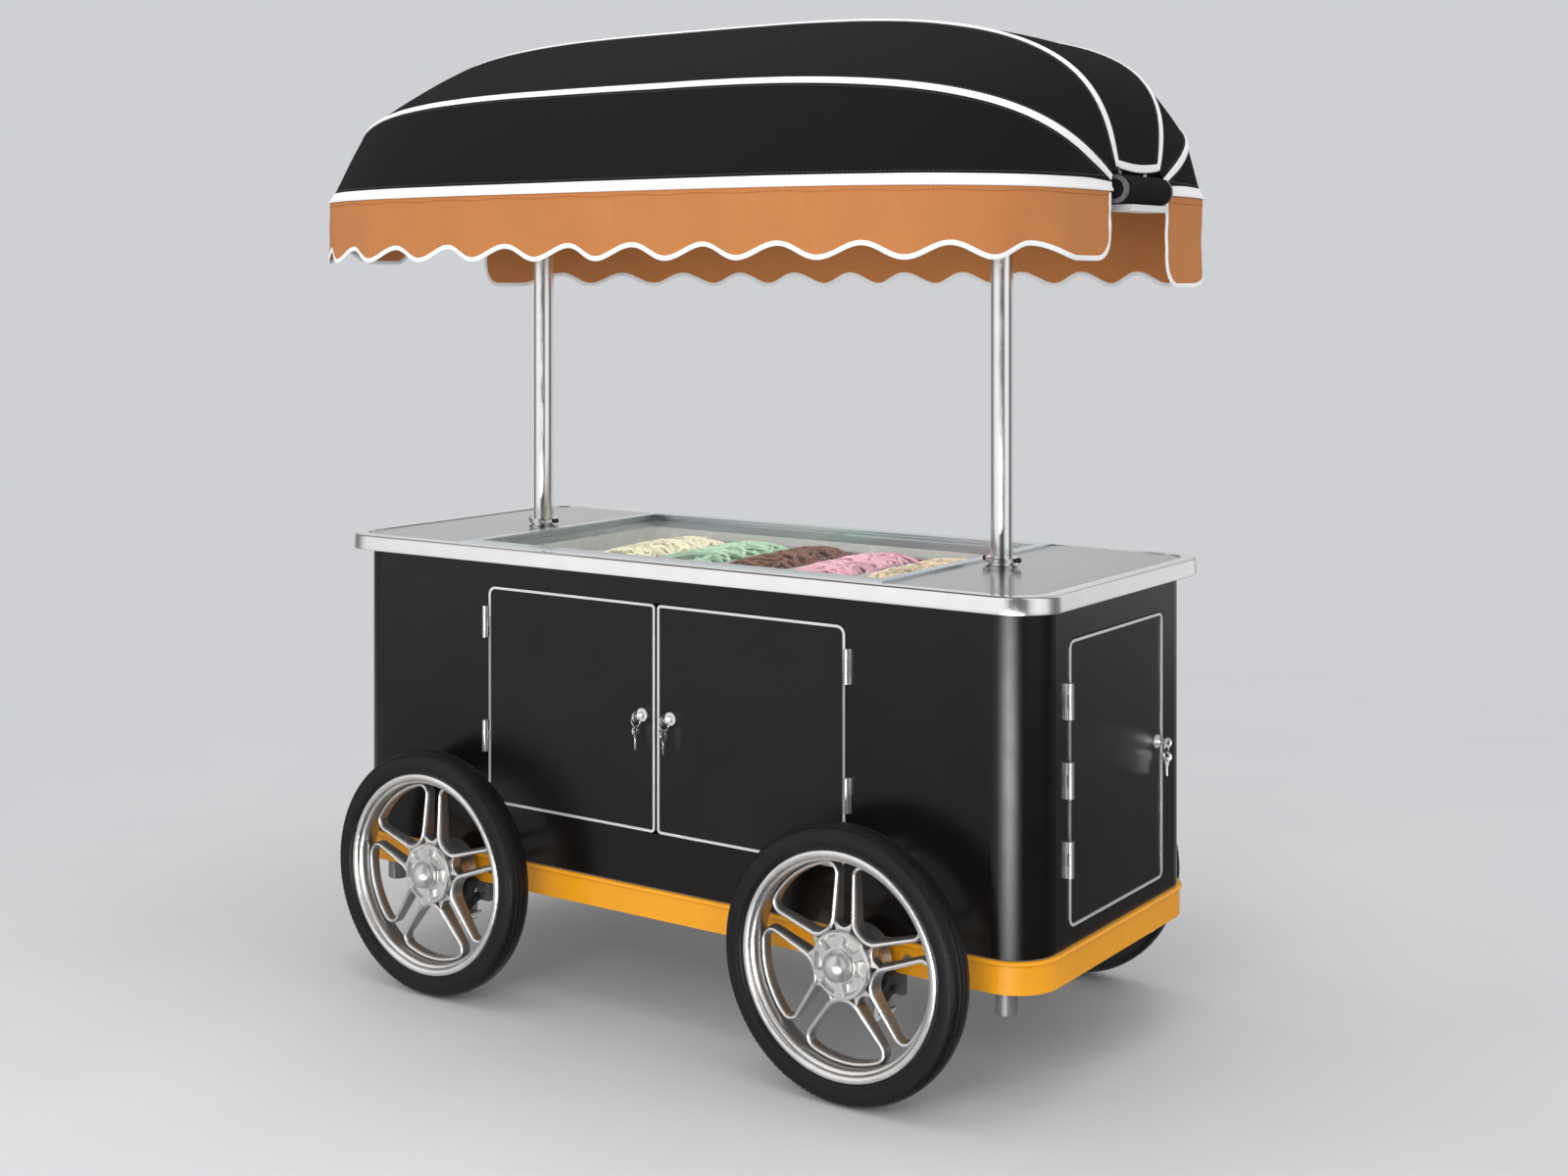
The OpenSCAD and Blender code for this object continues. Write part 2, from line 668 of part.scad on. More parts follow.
// Cross-section of the hood from the front edge over the top to the back edge, as [y, z, side]
function section(g) = let (
    a = [bow0_y - g, hub_z + 1], b = [bow1_y - 0.7 * g, bow1_z - 0.7 * g], c = [bow2_y - 0.3 * g, bow2_z - g])
    [[a, 1], [(a + b) / 2 + [3, 2], 1], [b, 1], [(b + c) / 2 + [2, 3], 1], [c, 1],
     [c, -1], [(b + c) / 2 + [2, 3], -1], [b, -1], [(a + b) / 2 + [3, 2], -1], [a, -1]];
function hood_row(i, g) = let (t = turn(i), s = section(g))
    [for (k = s) let (p = bow_pt(t, k[0][0], k[0][1], g)) k[1] > 0 ? p : flip(p)];

module canopy_cover() {
    rows = [for (i = [2:2 * bow_seg - 2]) i];
    points = [for (g = [3, 0], i = rows) each hood_row(i, g)];
    color("#1f1f20") polyhedron(points, sheet_faces(len(rows), len(section(0))), convexity = 6);
}

module bow_tube(y0, y, z, side) {
    g = 14;
    r = 7;
    sides = 6;
    rows = [for (i = [0:2 * bow_seg]) i];
    pts = [for (i = rows) let (p = bow_from(turn(i), y0, y, z, g),
            q = bow_from(turn(max(i - 1, 0)), y0, y, z, g),
            n = bow_from(turn(min(i + 1, 2 * bow_seg)), y0, y, z, g), d = unit(n - q),
            w = unit(cross(d, unit([0, -(z - hub_z), -(y - y0)]))), e = cross(w, d))
        each [for (k = [0:sides - 1]) let (a = 360 * k / sides, f = p + r * (cos(a) * w + sin(a) * e))
            side > 0 ? f : flip(f)]];
    n = len(rows);
    faces = concat([for (i = [0:n - 2], k = [0:sides - 1])
            let (a = i * sides + k, b = i * sides + (k + 1) % sides) each quad(a, b, b + sides, a + sides)],
        [[for (k = [sides - 1:-1:0]) k], [for (k = [0:sides - 1]) (n - 1) * sides + k]]);
    polyhedron(pts, side > 0 ? faces : [for (f = faces) [for (k = [len(f) - 1:-1:0]) f[k]]], convexity = 4);
}

module canopy_bows() {
    color("#a2a4a7") for (s = [1, -1]) {
        bow_tube(hub_y + 24, bow0_y - 14, hub_z - 8, s);
        bow_tube(hub_y - 10, bow1_y - 12, bow1_z - 12, s);
        bow_tube(hub_y - 35, bow2_y - 6, bow2_z - 14, s);
    }
}

// Valance: hangs from the lower bow, with gentle folds that grow towards its scalloped edge
path_n = 160;
path_t = [for (i = [0:path_n]) let (h = path_n / 2)
    i <= h ? 90 * pow(i / h, 1.75) : 180 - 90 * pow((path_n - i) / h, 1.75)];
path_p = [for (t = path_t) bow_pt(t, bow0_y, hub_z, 0)];
path_s = [for (i = 0, s = 0; i <= path_n;
    s = s + (i < path_n ? norm(path_p[i + 1] - path_p[i]) : 0), i = i + 1) [s, path_t[i]]];
path_l = path_s[path_n][0];
// Wave of the lower edge: 1 at a notch, -1 at the lowest point of a scallop
function scallop(u) = let (b = scallop_pitch * scallops / 2)
    u <= b ? cos(360 * u / scallop_pitch) : cos(min(180, 180 * (u - b) / end_scallop));
function hang_dir(s) = unit(bow_pt(lookup(min(s + 4, path_l), path_s), bow0_y, hub_z, 0)
    - bow_pt(lookup(max(s - 4, 0), path_s), bow0_y, hub_z, 0));
function hang_pt(s, f, g, h) = let (p = bow_pt(lookup(s, path_s), bow0_y, hub_z, 0), d = hang_dir(s),
    out = [-d[1], d[0], 0], u = s - path_l / 2,
    gap = max(0, valance_corner - min(s, path_l - s) + valance_start),
    corner = valance_corner - sqrt(pow(valance_corner, 2) - gap * gap),
    drop = h - scallop_h / 2 * scallop(abs(u)) - corner,
    wave = 4 * cos(360 * u / scallop_pitch) + 3 * sin(180 * u / scallop_pitch + 40))
    p + out * (g + 1 - f * wave) + [0, 0, -f * drop];

module valance(side) {
    n = 120;
    m = 3;
    run = path_l - 2 * valance_start;
    h = side > 0 ? valance_h : valance_back_h;
    outer = [for (i = [0:n]) each [for (j = [0:m]) hang_pt(valance_start + run * i / n, j / m, 0, h)]];
    inner = [for (i = [0:n]) each [for (j = [0:m]) hang_pt(valance_start + run * i / n, j / m, 2.5, h)]];
    pts = concat(outer, inner);
    faces = sheet_faces(n + 1, m + 1);
    color("#d58a4e") polyhedron(side > 0 ? pts : [for (p = pts) flip(p)],
        side < 0 ? faces : [for (f = faces) [f[2], f[1], f[0]]], convexity = 10);
}

at_wheel(-1, -1) tyre();  // tyre_front_left
at_wheel(1, -1) tyre();  // tyre_front_right
at_wheel(-1, 1) tyre();  // tyre_back_left
at_wheel(1, 1) tyre();  // tyre_back_right
at_wheel(-1, -1) wheel();  // wheel_front_left
at_wheel(1, -1) wheel();  // wheel_front_right
at_wheel(-1, 1) wheel();  // wheel_back_left
at_wheel(1, 1) wheel();  // wheel_back_right
axle_caps();
axles();
axle_bushes();
axle_blocks();
chassis_frame();
chassis_skirt();
chassis_bolts();
foot(-1, -1);  // foot_front_left
foot(1, -1);  // foot_front_right
foot(-1, 1);  // foot_back_left
foot(1, 1);  // foot_back_right
brake_lever(-1, -1);  // brake_front_left
brake_lever(1, -1);  // brake_front_right
brake_lever(-1, 1);  // brake_back_left
brake_lever(1, 1);  // brake_back_right
cabinet_shell();
cabinet_floor();
well_insulation();
cold_well();
cold_plates();
counter_rim();
counter_sheet();
display_frame();
glass(-well_x - 7, 18, counter_z - 12);  // glass_left
glass(-18, well_x + 7, counter_z - 5.5);  // glass_right
gelato_pans();
ice_cream(4, "#efe3b4");  // ice_cream_vanilla
ice_cream(3, "#9fd8ae");  // ice_cream_mint
ice_cream(2, "#6b3d26");  // ice_cream_chocolate
ice_cream(1, "#ef9fb6");  // ice_cream_strawberry
ice_cream(0, "#f0d6a6");  // ice_cream_peach
front_door_plane(-1)  // door_left_panel
    door_panel(front_w, front_h, 18, 9, door_x - door_gap - lock_x, lock_z - (door_z0 + door_z1) / 2);
front_door_plane(1)  // door_right_panel
    door_panel(front_w, front_h, 18, 9, door_x - door_gap - lock_x, lock_z - (door_z0 + door_z1) / 2);
end_door_plane()  // door_end_panel
    door_panel(end_w, end_h, 16, 16, end_lock_y + end_y - door_gap, end_lock_z - (end_z0 + end_z1) / 2);
front_door_plane(-1)  // door_left_fittings
    door_fittings(front_w, front_h, 18, 9, door_x - door_gap - lock_x, lock_z - (door_z0 + door_z1) / 2,
        [for (z = front_hinges) z - (door_z0 + door_z1) / 2]);
front_door_plane(1)  // door_right_fittings
    door_fittings(front_w, front_h, 18, 9, door_x - door_gap - lock_x, lock_z - (door_z0 + door_z1) / 2,
        [for (z = front_hinges) z - (door_z0 + door_z1) / 2]);
end_door_plane()  // door_end_fittings
    door_fittings(end_w, end_h, 16, 16, end_lock_y + end_y - door_gap, end_lock_z - (end_z0 + end_z1) / 2,
        [for (z = end_hinges) z - (end_z0 + end_z1) / 2]);
hinge_bases();
at_front_lock(-1) lock_plug(26);  // lock_left
at_front_lock(1) lock_plug(26);  // lock_right
at_end_lock() lock_plug(38);  // lock_end
at_front_lock(-1) spare_key();  // spare_key_left
at_front_lock(1) spare_key();  // spare_key_right
at_end_lock() spare_key();  // spare_key_end
post(-1);  // post_left
post(1);  // post_right
post_collars();
canopy_ridge();
canopy_bows();
canopy_cover();
valance(1);  // valance_front
valance(-1);  // valance_back
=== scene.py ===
import logging
import math
import random
from abc import ABC, abstractmethod
from dataclasses import dataclass
from enum import Enum
from typing import Any, Sequence

import bmesh
import bpy
from mathutils import Matrix, Vector, noise


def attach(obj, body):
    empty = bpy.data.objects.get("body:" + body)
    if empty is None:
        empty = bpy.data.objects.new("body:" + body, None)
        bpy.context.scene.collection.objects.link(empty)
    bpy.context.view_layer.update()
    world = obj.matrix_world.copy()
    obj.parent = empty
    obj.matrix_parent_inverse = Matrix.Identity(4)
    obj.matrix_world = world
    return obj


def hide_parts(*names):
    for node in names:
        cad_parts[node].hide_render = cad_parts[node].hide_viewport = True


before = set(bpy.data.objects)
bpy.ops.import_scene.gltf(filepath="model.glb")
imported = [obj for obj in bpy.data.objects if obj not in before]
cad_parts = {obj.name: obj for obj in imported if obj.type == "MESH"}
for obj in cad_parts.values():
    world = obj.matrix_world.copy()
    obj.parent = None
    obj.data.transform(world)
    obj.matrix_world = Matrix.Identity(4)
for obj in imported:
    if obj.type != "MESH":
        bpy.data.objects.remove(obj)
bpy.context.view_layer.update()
LOG = logging.getLogger("push_cart")

Color = tuple[float, float, float]
Pair = tuple[float, float]
Rows = list[list[Vector]]
Socket = bpy.types.NodeSocket


class Graph:
    """A tree of nodes, with a short call that adds one and links it."""

    def __init__(self, tree: bpy.types.NodeTree) -> None:
        """Take over a tree.

        Args:
            tree: The tree to fill.
        """
        self.tree = tree

    def feed(self, socket: Socket, value: Any) -> None:
        """Set a socket's own value, or link another socket to it.

        Args:
            socket: The input to set.
            value: A number, a colour, a vector or an output socket.
        """
        if isinstance(value, bpy.types.NodeSocket):
            self.tree.links.new(value, socket)
        elif socket.type == "RGBA" and len(value) == 3:
            socket.default_value = (*value, 1.0)
        else:
            socket.default_value = value

    def add(self, kind: str, inputs: dict | None = None, **settings: Any) -> bpy.types.Node:
        """Add a node.

        Args:
            kind: Blender's name of the node type.
            inputs: Values or sockets by the input's name or number.
            settings: The node's own properties.

        Returns:
            The new node.
        """
        node = self.tree.nodes.new(kind)
        for key, value in settings.items():
            setattr(node, key, value)
        for key, value in (inputs or {}).items():
            self.feed(node.inputs[key], value)
        return node


class ShaderTree(Graph):
    """The nodes of a material or a world, with short calls for what the finishes share."""

    def __init__(self, holder: bpy.types.Material | bpy.types.World) -> None:
        """Start with no nodes.

        Args:
            holder: The new material or world.
        """
        holder.use_nodes = True
        super().__init__(holder.node_tree)
        self.tree.nodes.clear()
        self.holder = holder

    def place(self, scale: Sequence[float] = (1, 1, 1), source: str = "Object") -> Socket:
        """Give scaled coordinates.

        Args:
            scale: Scale along each axis.
            source: Object or UV coordinates.

        Returns:
            The vector socket.
        """
        coords = self.add("ShaderNodeTexCoord").outputs[source]
        return self.add("ShaderNodeMapping", {"Vector": coords, "Scale": scale}).outputs[0]

    def noise(self, where: Socket, scale: float, detail: float = 3.0) -> Socket:
        """Give a noise value over the surface.

        Args:
            where: Coordinates.
            scale: Grains in a metre.
            detail: Octaves of finer grain.

        Returns:
            The noise socket, about 0.3 to 0.7.
        """
        return self.add("ShaderNodeTexNoise", {"Vector": where, "Scale": scale, "Detail": detail}).outputs[0]

    def span(self, value: Socket, low: float, high: float, source: Pair = (0.3, 0.7)) -> Socket:
        """Map a value to a range.

        Args:
            value: The value to map.
            low: Result at the low end.
            high: Result at the high end.
            source: The value's own range.

        Returns:
            The mapped socket.
        """
        node = self.add("ShaderNodeMapRange", {"Value": value, "From Min": source[0], "From Max": source[1],
                                               "To Min": low, "To Max": high})
        return node.outputs[0]

    def math(self, operation: str, first: Any, second: Any = 0.0) -> Socket:
        """Give the result of one sum, by the name of the operation."""
        return self.add("ShaderNodeMath", {0: first, 1: second}, operation=operation).outputs[0]

    def blend(self, share: Any, first: Any, second: Any) -> Socket:
        """Mix two colours.

        Args:
            share: Share of the second colour.
            first: First colour.
            second: Second colour.

        Returns:
            The colour socket.
        """
        return self.add("ShaderNodeMix", {0: share, 6: first, 7: second}, data_type="RGBA").outputs[2]

    def bump(self, height: Socket, strength: float, depth: float, normal: Socket | None = None) -> Socket:
        """Turn a height into a normal.

        Args:
            height: Height, 0 to 1.
            strength: Share of the effect.
            depth: Depth of the relief in metres.
            normal: A normal to start from.

        Returns:
            The normal socket.
        """
        inputs = {"Height": height, "Strength": strength, "Distance": depth}
        if normal is not None:
            inputs["Normal"] = normal
        return self.add("ShaderNodeBump", inputs).outputs[0]

    def surface(self, inputs: dict) -> Socket:
        """Give a Principled shader with these inputs."""
        return self.add("ShaderNodeBsdfPrincipled", inputs).outputs[0]

    def close(self, shader: Socket, output: str = "Material") -> bpy.types.Material | bpy.types.World:
        """Send a shader to the output.

        Args:
            shader: The finished shader.
            output: Material or World.

        Returns:
            The material or world.
        """
        self.add("ShaderNodeOutput" + output, {"Surface": shader})
        return self.holder


def tint(base: Color, share: float) -> Color:
    """Give a lighter or darker colour by a share of itself."""
    return tuple(min(1.0, part * share) for part in base)


MADE: dict[str, bpy.types.Material] = {}


@dataclass(frozen=True)
class Finish(ABC):
    """A finish: its name, its slot in the record and its base colour."""

    name: str
    slot: str
    base: Color
    roughness: float = 0.4

    @abstractmethod
    def paint(self, tree: ShaderTree) -> Socket:
        """Give the finish's shader."""

    def material(self) -> bpy.types.Material:
        """Give the finish's material, made once."""
        if self.name not in MADE:
            tree = ShaderTree(bpy.data.materials.new(self.name))
            MADE[self.name] = tree.close(self.paint(tree))
        return MADE[self.name]


@dataclass(frozen=True)
class Laminate(Finish):
    """Satin panel with a fine pebbled grain."""

    def paint(self, tree: ShaderTree) -> Socket:
        """Give the finish's shader."""
        where = tree.place()
        cloud = tree.span(tree.noise(where, 6.0, 5.0), 0.0, 1.0)
        color = tree.blend(cloud, tint(self.base, 0.8), tint(self.base, 1.25))
        rough = tree.span(tree.noise(where, 30.0, 3.0), self.roughness - 0.015, self.roughness + 0.02)
        grain = tree.bump(tree.noise(where, 1500.0, 2.0), 0.03, 0.0002)
        return tree.surface({"Base Color": color, "Roughness": rough, "Normal": grain,
                             "Specular IOR Level": 0.28})


@dataclass(frozen=True)
class Gloss(Finish):
    """Sprayed paint under a clear coat, with a faint orange peel."""

    def paint(self, tree: ShaderTree) -> Socket:
        """Give the finish's shader."""
        where = tree.place()
        cloud = tree.span(tree.noise(where, 9.0, 4.0), 0.0, 1.0)
        color = tree.blend(cloud, tint(self.base, 0.94), tint(self.base, 1.05))
        rough = tree.span(tree.noise(where, 45.0, 5.0), self.roughness - 0.04, self.roughness + 0.06)
        peel = tree.bump(tree.noise(where, 420.0, 2.0), 0.10, 0.0006)
        return tree.surface({"Base Color": color, "Roughness": rough, "Normal": peel, "Coat Weight": 0.25,
                             "Coat Roughness": 0.12, "Specular IOR Level": 0.3})


class Grain(Enum):
    """Direction of the brush marks on sheet metal."""

    LENGTHWISE = (5.0, 620.0, 620.0)
    CROSSWISE = (620.0, 5.0, 620.0)
    UPRIGHT = (620.0, 620.0, 5.0)


@dataclass(frozen=True)
class Brushed(Finish):
    """Metal with fine brush marks in one direction."""

    grain: Grain = Grain.LENGTHWISE
    depth: float = 0.12

    def paint(self, tree: ShaderTree) -> Socket:
        """Give the finish's shader."""
        marks = tree.noise(tree.place(self.grain.value), 1.0, 4.0)
        where = tree.place()
        stain = tree.span(tree.noise(where, 7.0, 5.0), 0.0, 1.0)
        color = tree.blend(tree.span(marks, 0.0, 1.0), tint(self.base, 0.92), tint(self.base, 1.06))
        color = tree.blend(tree.math("MULTIPLY", stain, 0.25), color, tint(self.base, 0.9))
        rough = tree.span(marks, self.roughness - 0.06, self.roughness + 0.08)
        relief = tree.bump(marks, self.depth, 0.0002)
        return tree.surface({"Base Color": color, "Metallic": 1.0, "Roughness": rough, "Normal": relief})


@dataclass(frozen=True)
class Polished(Finish):
    """Bright plated metal with faint smudges and hairlines."""

    metal: float = 1.0

    def paint(self, tree: ShaderTree) -> Socket:
        """Give the finish's shader."""
        where = tree.place()
        smudge = tree.noise(where, 18.0, 3.0)
        waves = tree.noise(where, 12.0, 2.0)
        color = tree.blend(tree.span(smudge, 0.0, 1.0), tint(self.base, 0.95), tint(self.base, 1.02))
        rough = tree.span(smudge, self.roughness * 0.85, self.roughness * 1.2)
        relief = tree.bump(waves, 0.02, 0.0004)
        return tree.surface({"Base Color": color, "Metallic": self.metal, "Roughness": rough,
                             "Normal": relief})


@dataclass(frozen=True)
class CastAlloy(Finish):
    """Wheel casting: faces square to the axle are polished, side walls stay dull and darker."""

    def paint(self, tree: ShaderTree) -> Socket:
        """Give the finish's shader."""
        where = tree.place()
        facing = tree.add("ShaderNodeSeparateXYZ", {0: tree.add("ShaderNodeTexCoord").outputs["Normal"]})
        open_face = tree.math("ABSOLUTE", facing.outputs[1])
        polish = tree.span(open_face, 0.0, 1.0, (0.12, 0.5))
        smudge = tree.noise(where, 30.0, 5.0)
        bright = tree.blend(tree.span(smudge, 0.0, 1.0), tint(self.base, 0.94), tint(self.base, 1.04))
        color = tree.blend(polish, tint(self.base, 0.62), bright)
        dull = tree.span(tree.noise(where, 500.0, 3.0), 0.40, 0.52)
        shine = tree.span(smudge, self.roughness - 0.04, self.roughness + 0.06)
        rough = tree.add("ShaderNodeMix", {0: polish, 2: dull, 3: shine}, data_type="FLOAT").outputs[0]
        relief = tree.bump(tree.noise(where, 500.0, 2.0), 0.03, 0.0002)
        return tree.surface({"Base Color": color, "Metallic": 1.0, "Roughness": rough, "Normal": relief})


@dataclass(frozen=True)
class Rubber(Finish):
    """Matt black rubber with a trace of dust."""

    def paint(self, tree: ShaderTree) -> Socket:
        """Give the finish's shader."""
        where = tree.place()
        dust = tree.span(tree.noise(where, 26.0, 7.0), 0.0, 1.0, (0.45, 0.75))
        color = tree.blend(tree.math("MULTIPLY", dust, 0.3), self.base, tint(self.base, 2.0))
        rough = tree.span(tree.noise(where, 90.0, 4.0), self.roughness - 0.08, self.roughness + 0.1)
        pores = tree.bump(tree.noise(where, 1100.0, 3.0), 0.05, 0.0002)
        return tree.surface({"Base Color": color, "Roughness": rough, "Normal": pores,
                             "Specular IOR Level": 0.22})


@dataclass(frozen=True)
class Cloth(Finish):
    """Woven cloth on UV in metres: warp and weft, slubs and soft fading."""

    pitch: float = 0.0008
    relief: float = 0.5
    sheen: float = 0.15

    def paint(self, tree: ShaderTree) -> Socket:
        """Give the finish's shader."""
        flat = tree.place(source="UV")
        axes = tree.add("ShaderNodeSeparateXYZ", {0: flat}).outputs
        turns = 2 * math.pi / self.pitch
        warp = tree.math("SINE", tree.math("MULTIPLY", axes[0], turns))
        weft = tree.math("SINE", tree.math("MULTIPLY", axes[1], turns))
        weave = tree.span(tree.math("MULTIPLY", warp, weft), 0.0, 1.0, (-1.0, 1.0))
        slub = tree.noise(tree.place((300.0, 14.0, 1.0), "UV"), 1.0, 3.0)
        fade = tree.span(tree.noise(flat, 5.0, 5.0), 0.0, 1.0)
        color = tree.blend(weave, tint(self.base, 0.88), tint(self.base, 1.08))
        color = tree.blend(tree.math("MULTIPLY", fade, 0.3), color, tint(self.base, 1.18))
        streak = tree.math("MULTIPLY", tree.span(slub, 0.0, 1.0), 0.25)
        color = tree.blend(streak, color, tint(self.base, 0.82))
        normal = tree.bump(weave, self.relief, self.pitch * 0.4)
        normal = tree.bump(slub, 0.10, 0.0005, normal)
        rough = tree.span(slub, self.roughness - 0.05, self.roughness + 0.05)
        return tree.surface({"Base Color": color, "Roughness": rough, "Normal": normal,
                             "Sheen Weight": self.sheen, "Sheen Roughness": 0.5, "Specular IOR Level": 0.0})


@dataclass(frozen=True)
class Pane(Finish):
    """Clear coated glass with a faint green body and a few smears."""

    clearness: float = 0.965

    def paint(self, tree: ShaderTree) -> Socket:
        """Give the finish's shader."""
        smear = tree.noise(tree.place((3.0, 14.0, 3.0)), 1.0, 6.0)
        rough = tree.span(smear, 0.0, self.roughness, (0.45, 0.8))
        glass = tree.surface({"Base Color": self.base, "Roughness": rough,
                              "Transmission Weight": 1.0, "IOR": 1.46})
        clear = tree.add("ShaderNodeBsdfTransparent", {"Color": self.base}).outputs[0]
        return tree.add("ShaderNodeMixShader", {0: self.clearness, 1: glass, 2: clear}).outputs[0]


@dataclass(frozen=True)
class IceCream(Finish):
    """Soft frozen cream: mottled, slightly translucent, with air bubbles and frost."""

    def shade(self, share: float) -> "IceCream":
        """Give a shaded copy of the cream, as painted shade: for the heap between the strands and for some of
        the strands.
        """
        return IceCream(f"{self.name}_{round(share * 100)}", self.slot, tint(self.base, share), 0.6)

    def paint(self, tree: ShaderTree) -> Socket:
        """Give the finish's shader."""
        where = tree.place()
        mottle = tree.span(tree.noise(where, 70.0, 6.0), 0.0, 1.0)
        color = tree.blend(mottle, tint(self.base, 0.88), tint(self.base, 1.1))
        frost = tree.span(tree.noise(where, 420.0, 3.0), 0.0, 0.35, (0.55, 0.8))
        color = tree.blend(frost, color, (0.92, 0.9, 0.86))
        bubbles = tree.bump(tree.noise(where, 520.0, 4.0), 0.35, 0.0012)
        rough = tree.span(mottle, self.roughness + 0.08, self.roughness - 0.06, (0.0, 1.0))
        return tree.surface({"Base Color": color, "Roughness": rough, "Normal": bubbles,
                             "Subsurface Weight": 0.12, "Subsurface Radius": (0.006, 0.004, 0.003)})


@dataclass(frozen=True)
class Coated(Finish):
    """Painted or cast steel, with a rough skin and worn spots."""

    metal: float = 0.0

    def paint(self, tree: ShaderTree) -> Socket:
        """Give the finish's shader."""
        where = tree.place()
        wear = tree.span(tree.noise(where, 34.0, 7.0), 0.0, 1.0, (0.5, 0.75))
        color = tree.blend(tree.math("MULTIPLY", wear, 0.45), self.base, tint(self.base, 1.7))
        rough = tree.span(tree.noise(where, 160.0, 4.0), self.roughness - 0.08, self.roughness + 0.1)
        skin = tree.bump(tree.noise(where, 380.0, 4.0), 0.2, 0.0006)
        return tree.surface({"Base Color": color, "Metallic": self.metal, "Roughness": rough, "Normal": skin})


@dataclass(frozen=True)
class Foam(Finish):
    """Rigid insulating foam with fine closed cells."""

    def paint(self, tree: ShaderTree) -> Socket:
        """Give the finish's shader."""
        where = tree.place()
        cells = tree.add("ShaderNodeTexVoronoi", {"Vector": where, "Scale": 420.0}).outputs["Distance"]
        middle = tree.span(cells, 0.0, 1.0, (0.0, 0.8))
        color = tree.blend(middle, tint(self.base, 0.85), tint(self.base, 1.08))
        relief = tree.bump(cells, 0.3, 0.0012)
        return tree.surface({"Base Color": color, "Roughness": self.roughness, "Normal": relief})


BODY_BLACK = Laminate("body_black", "body_laminate", (0.0056, 0.0050, 0.0046), 0.21)
DOOR_BLACK = Laminate("door_black", "body_laminate", (0.0062, 0.0060, 0.0059), 0.36)
SKIRT_PAINT = Gloss("skirt_orange", "skirt_paint", (0.95, 0.400, 0.012), 0.38)
RIM_STEEL = Polished("rim_steel", "bright_aluminium", (0.83, 0.82, 0.815), 0.11, 0.88)
SHEET_STEEL = Brushed("sheet_steel", "aluminium", (0.43, 0.43, 0.44), 0.19, Grain.CROSSWISE, 0.012)
WELL_LINER = Coated("well_liner", "stainless", (0.70, 0.68, 0.63), 0.42, 0.25)
PAN_STEEL = Brushed("pan_steel", "stainless", (0.82, 0.83, 0.84), 0.26, Grain.UPRIGHT, 0.04)
FRAME_ALLOY = Brushed("frame_alloy", "frame_aluminium", (0.78, 0.83, 0.86), 0.30, Grain.LENGTHWISE, 0.03)
TRIM_ALLOY = Polished("trim_alloy", "aluminium", (0.80, 0.80, 0.80), 0.34, 0.5)
HINGE_STEEL = Polished("hinge_steel", "aluminium", (0.46, 0.44, 0.43), 0.32, 0.7)
CHROME = Polished("chrome", "chrome", (0.84, 0.83, 0.83), 0.15)
SATIN_CHROME = Polished("satin_chrome", "chrome", (0.80, 0.80, 0.80), 0.22)
CAP_STEEL = Polished("cap_steel", "chrome", (0.66, 0.65, 0.645), 0.38, 0.8)
FOOT_STEEL = Polished("foot_steel", "chrome", (0.27, 0.27, 0.275), 0.40, 0.5)
WHEEL_ALLOY = CastAlloy("wheel_alloy", "polished_alloy", (0.84, 0.83, 0.82), 0.30)
HUB_CAST = Coated("hub_cast", "polished_alloy", (0.40, 0.40, 0.405), 0.42, 0.85)
TYRE_RUBBER = Rubber("tyre_rubber", "tyre_rubber", (0.0085, 0.0085, 0.0088), 0.40)
HOOD_CLOTH = Cloth("hood_cloth", "canopy_cloth", (0.0115, 0.0115, 0.0118), 0.74, 0.0009, 0.5, 0.03)
VALANCE_CLOTH = Cloth("valance_cloth", "valance_cloth", (0.545, 0.217, 0.075), 0.80, 0.0009, 0.5, 0.06)
WHITE_TAPE = Cloth("white_tape", "canopy_cloth", (0.92, 0.92, 0.91), 0.70, 0.0007, 0.35, 0.05)
STITCH_PALE = Cloth("stitch_pale", "canopy_cloth", (0.10, 0.10, 0.10), 0.70, 0.0004, 0.2, 0.05)
STITCH_TAN = Cloth("stitch_tan", "valance_cloth", (0.36, 0.12, 0.035), 0.70, 0.0004, 0.2, 0.05)
CLEAR_GLASS = Pane("clear_glass", "clear_glass", (0.985, 0.996, 0.994), 0.05)
BLACK_STEEL = Coated("black_steel", "black_steel", (0.016, 0.016, 0.017), 0.5)
GREY_STEEL = Coated("grey_steel", "grey_steel", (0.13, 0.13, 0.135), 0.5, 0.2)
PLAIN_STEEL = Brushed("plain_steel", "steel", (0.55, 0.55, 0.56), 0.34, Grain.UPRIGHT, 0.05)
BRONZE = Brushed("bronze", "bronze", (0.52, 0.33, 0.13), 0.36, Grain.CROSSWISE, 0.06)
FLOOR_BOARD = Coated("floor_board", "aluminium", (0.42, 0.42, 0.43), 0.45, 0.6)
FOAM = Foam("foam", "foam", (0.78, 0.72, 0.52), 0.85)
COLD_PLATE = Coated("cold_plate", "cold_plate", (0.27, 0.36, 0.41), 0.42, 0.5)
VANILLA = IceCream("vanilla", "vanilla", (0.88, 0.80, 0.58), 0.5)
MINT = IceCream("mint", "mint", (0.47, 0.68, 0.47), 0.5)
CHOCOLATE = IceCream("chocolate", "chocolate", (0.20, 0.080, 0.040), 0.5)
STRAWBERRY = IceCream("strawberry", "strawberry", (0.90, 0.48, 0.57), 0.5)
PEACH = IceCream("peach", "peach", (0.84, 0.66, 0.46), 0.5)


def put(name: str, data: bpy.types.ID) -> bpy.types.Object:
    """Make an object of some data in the scene."""
    thing = bpy.data.objects.new(name, data)
    bpy.context.scene.collection.objects.link(thing)
    return thing


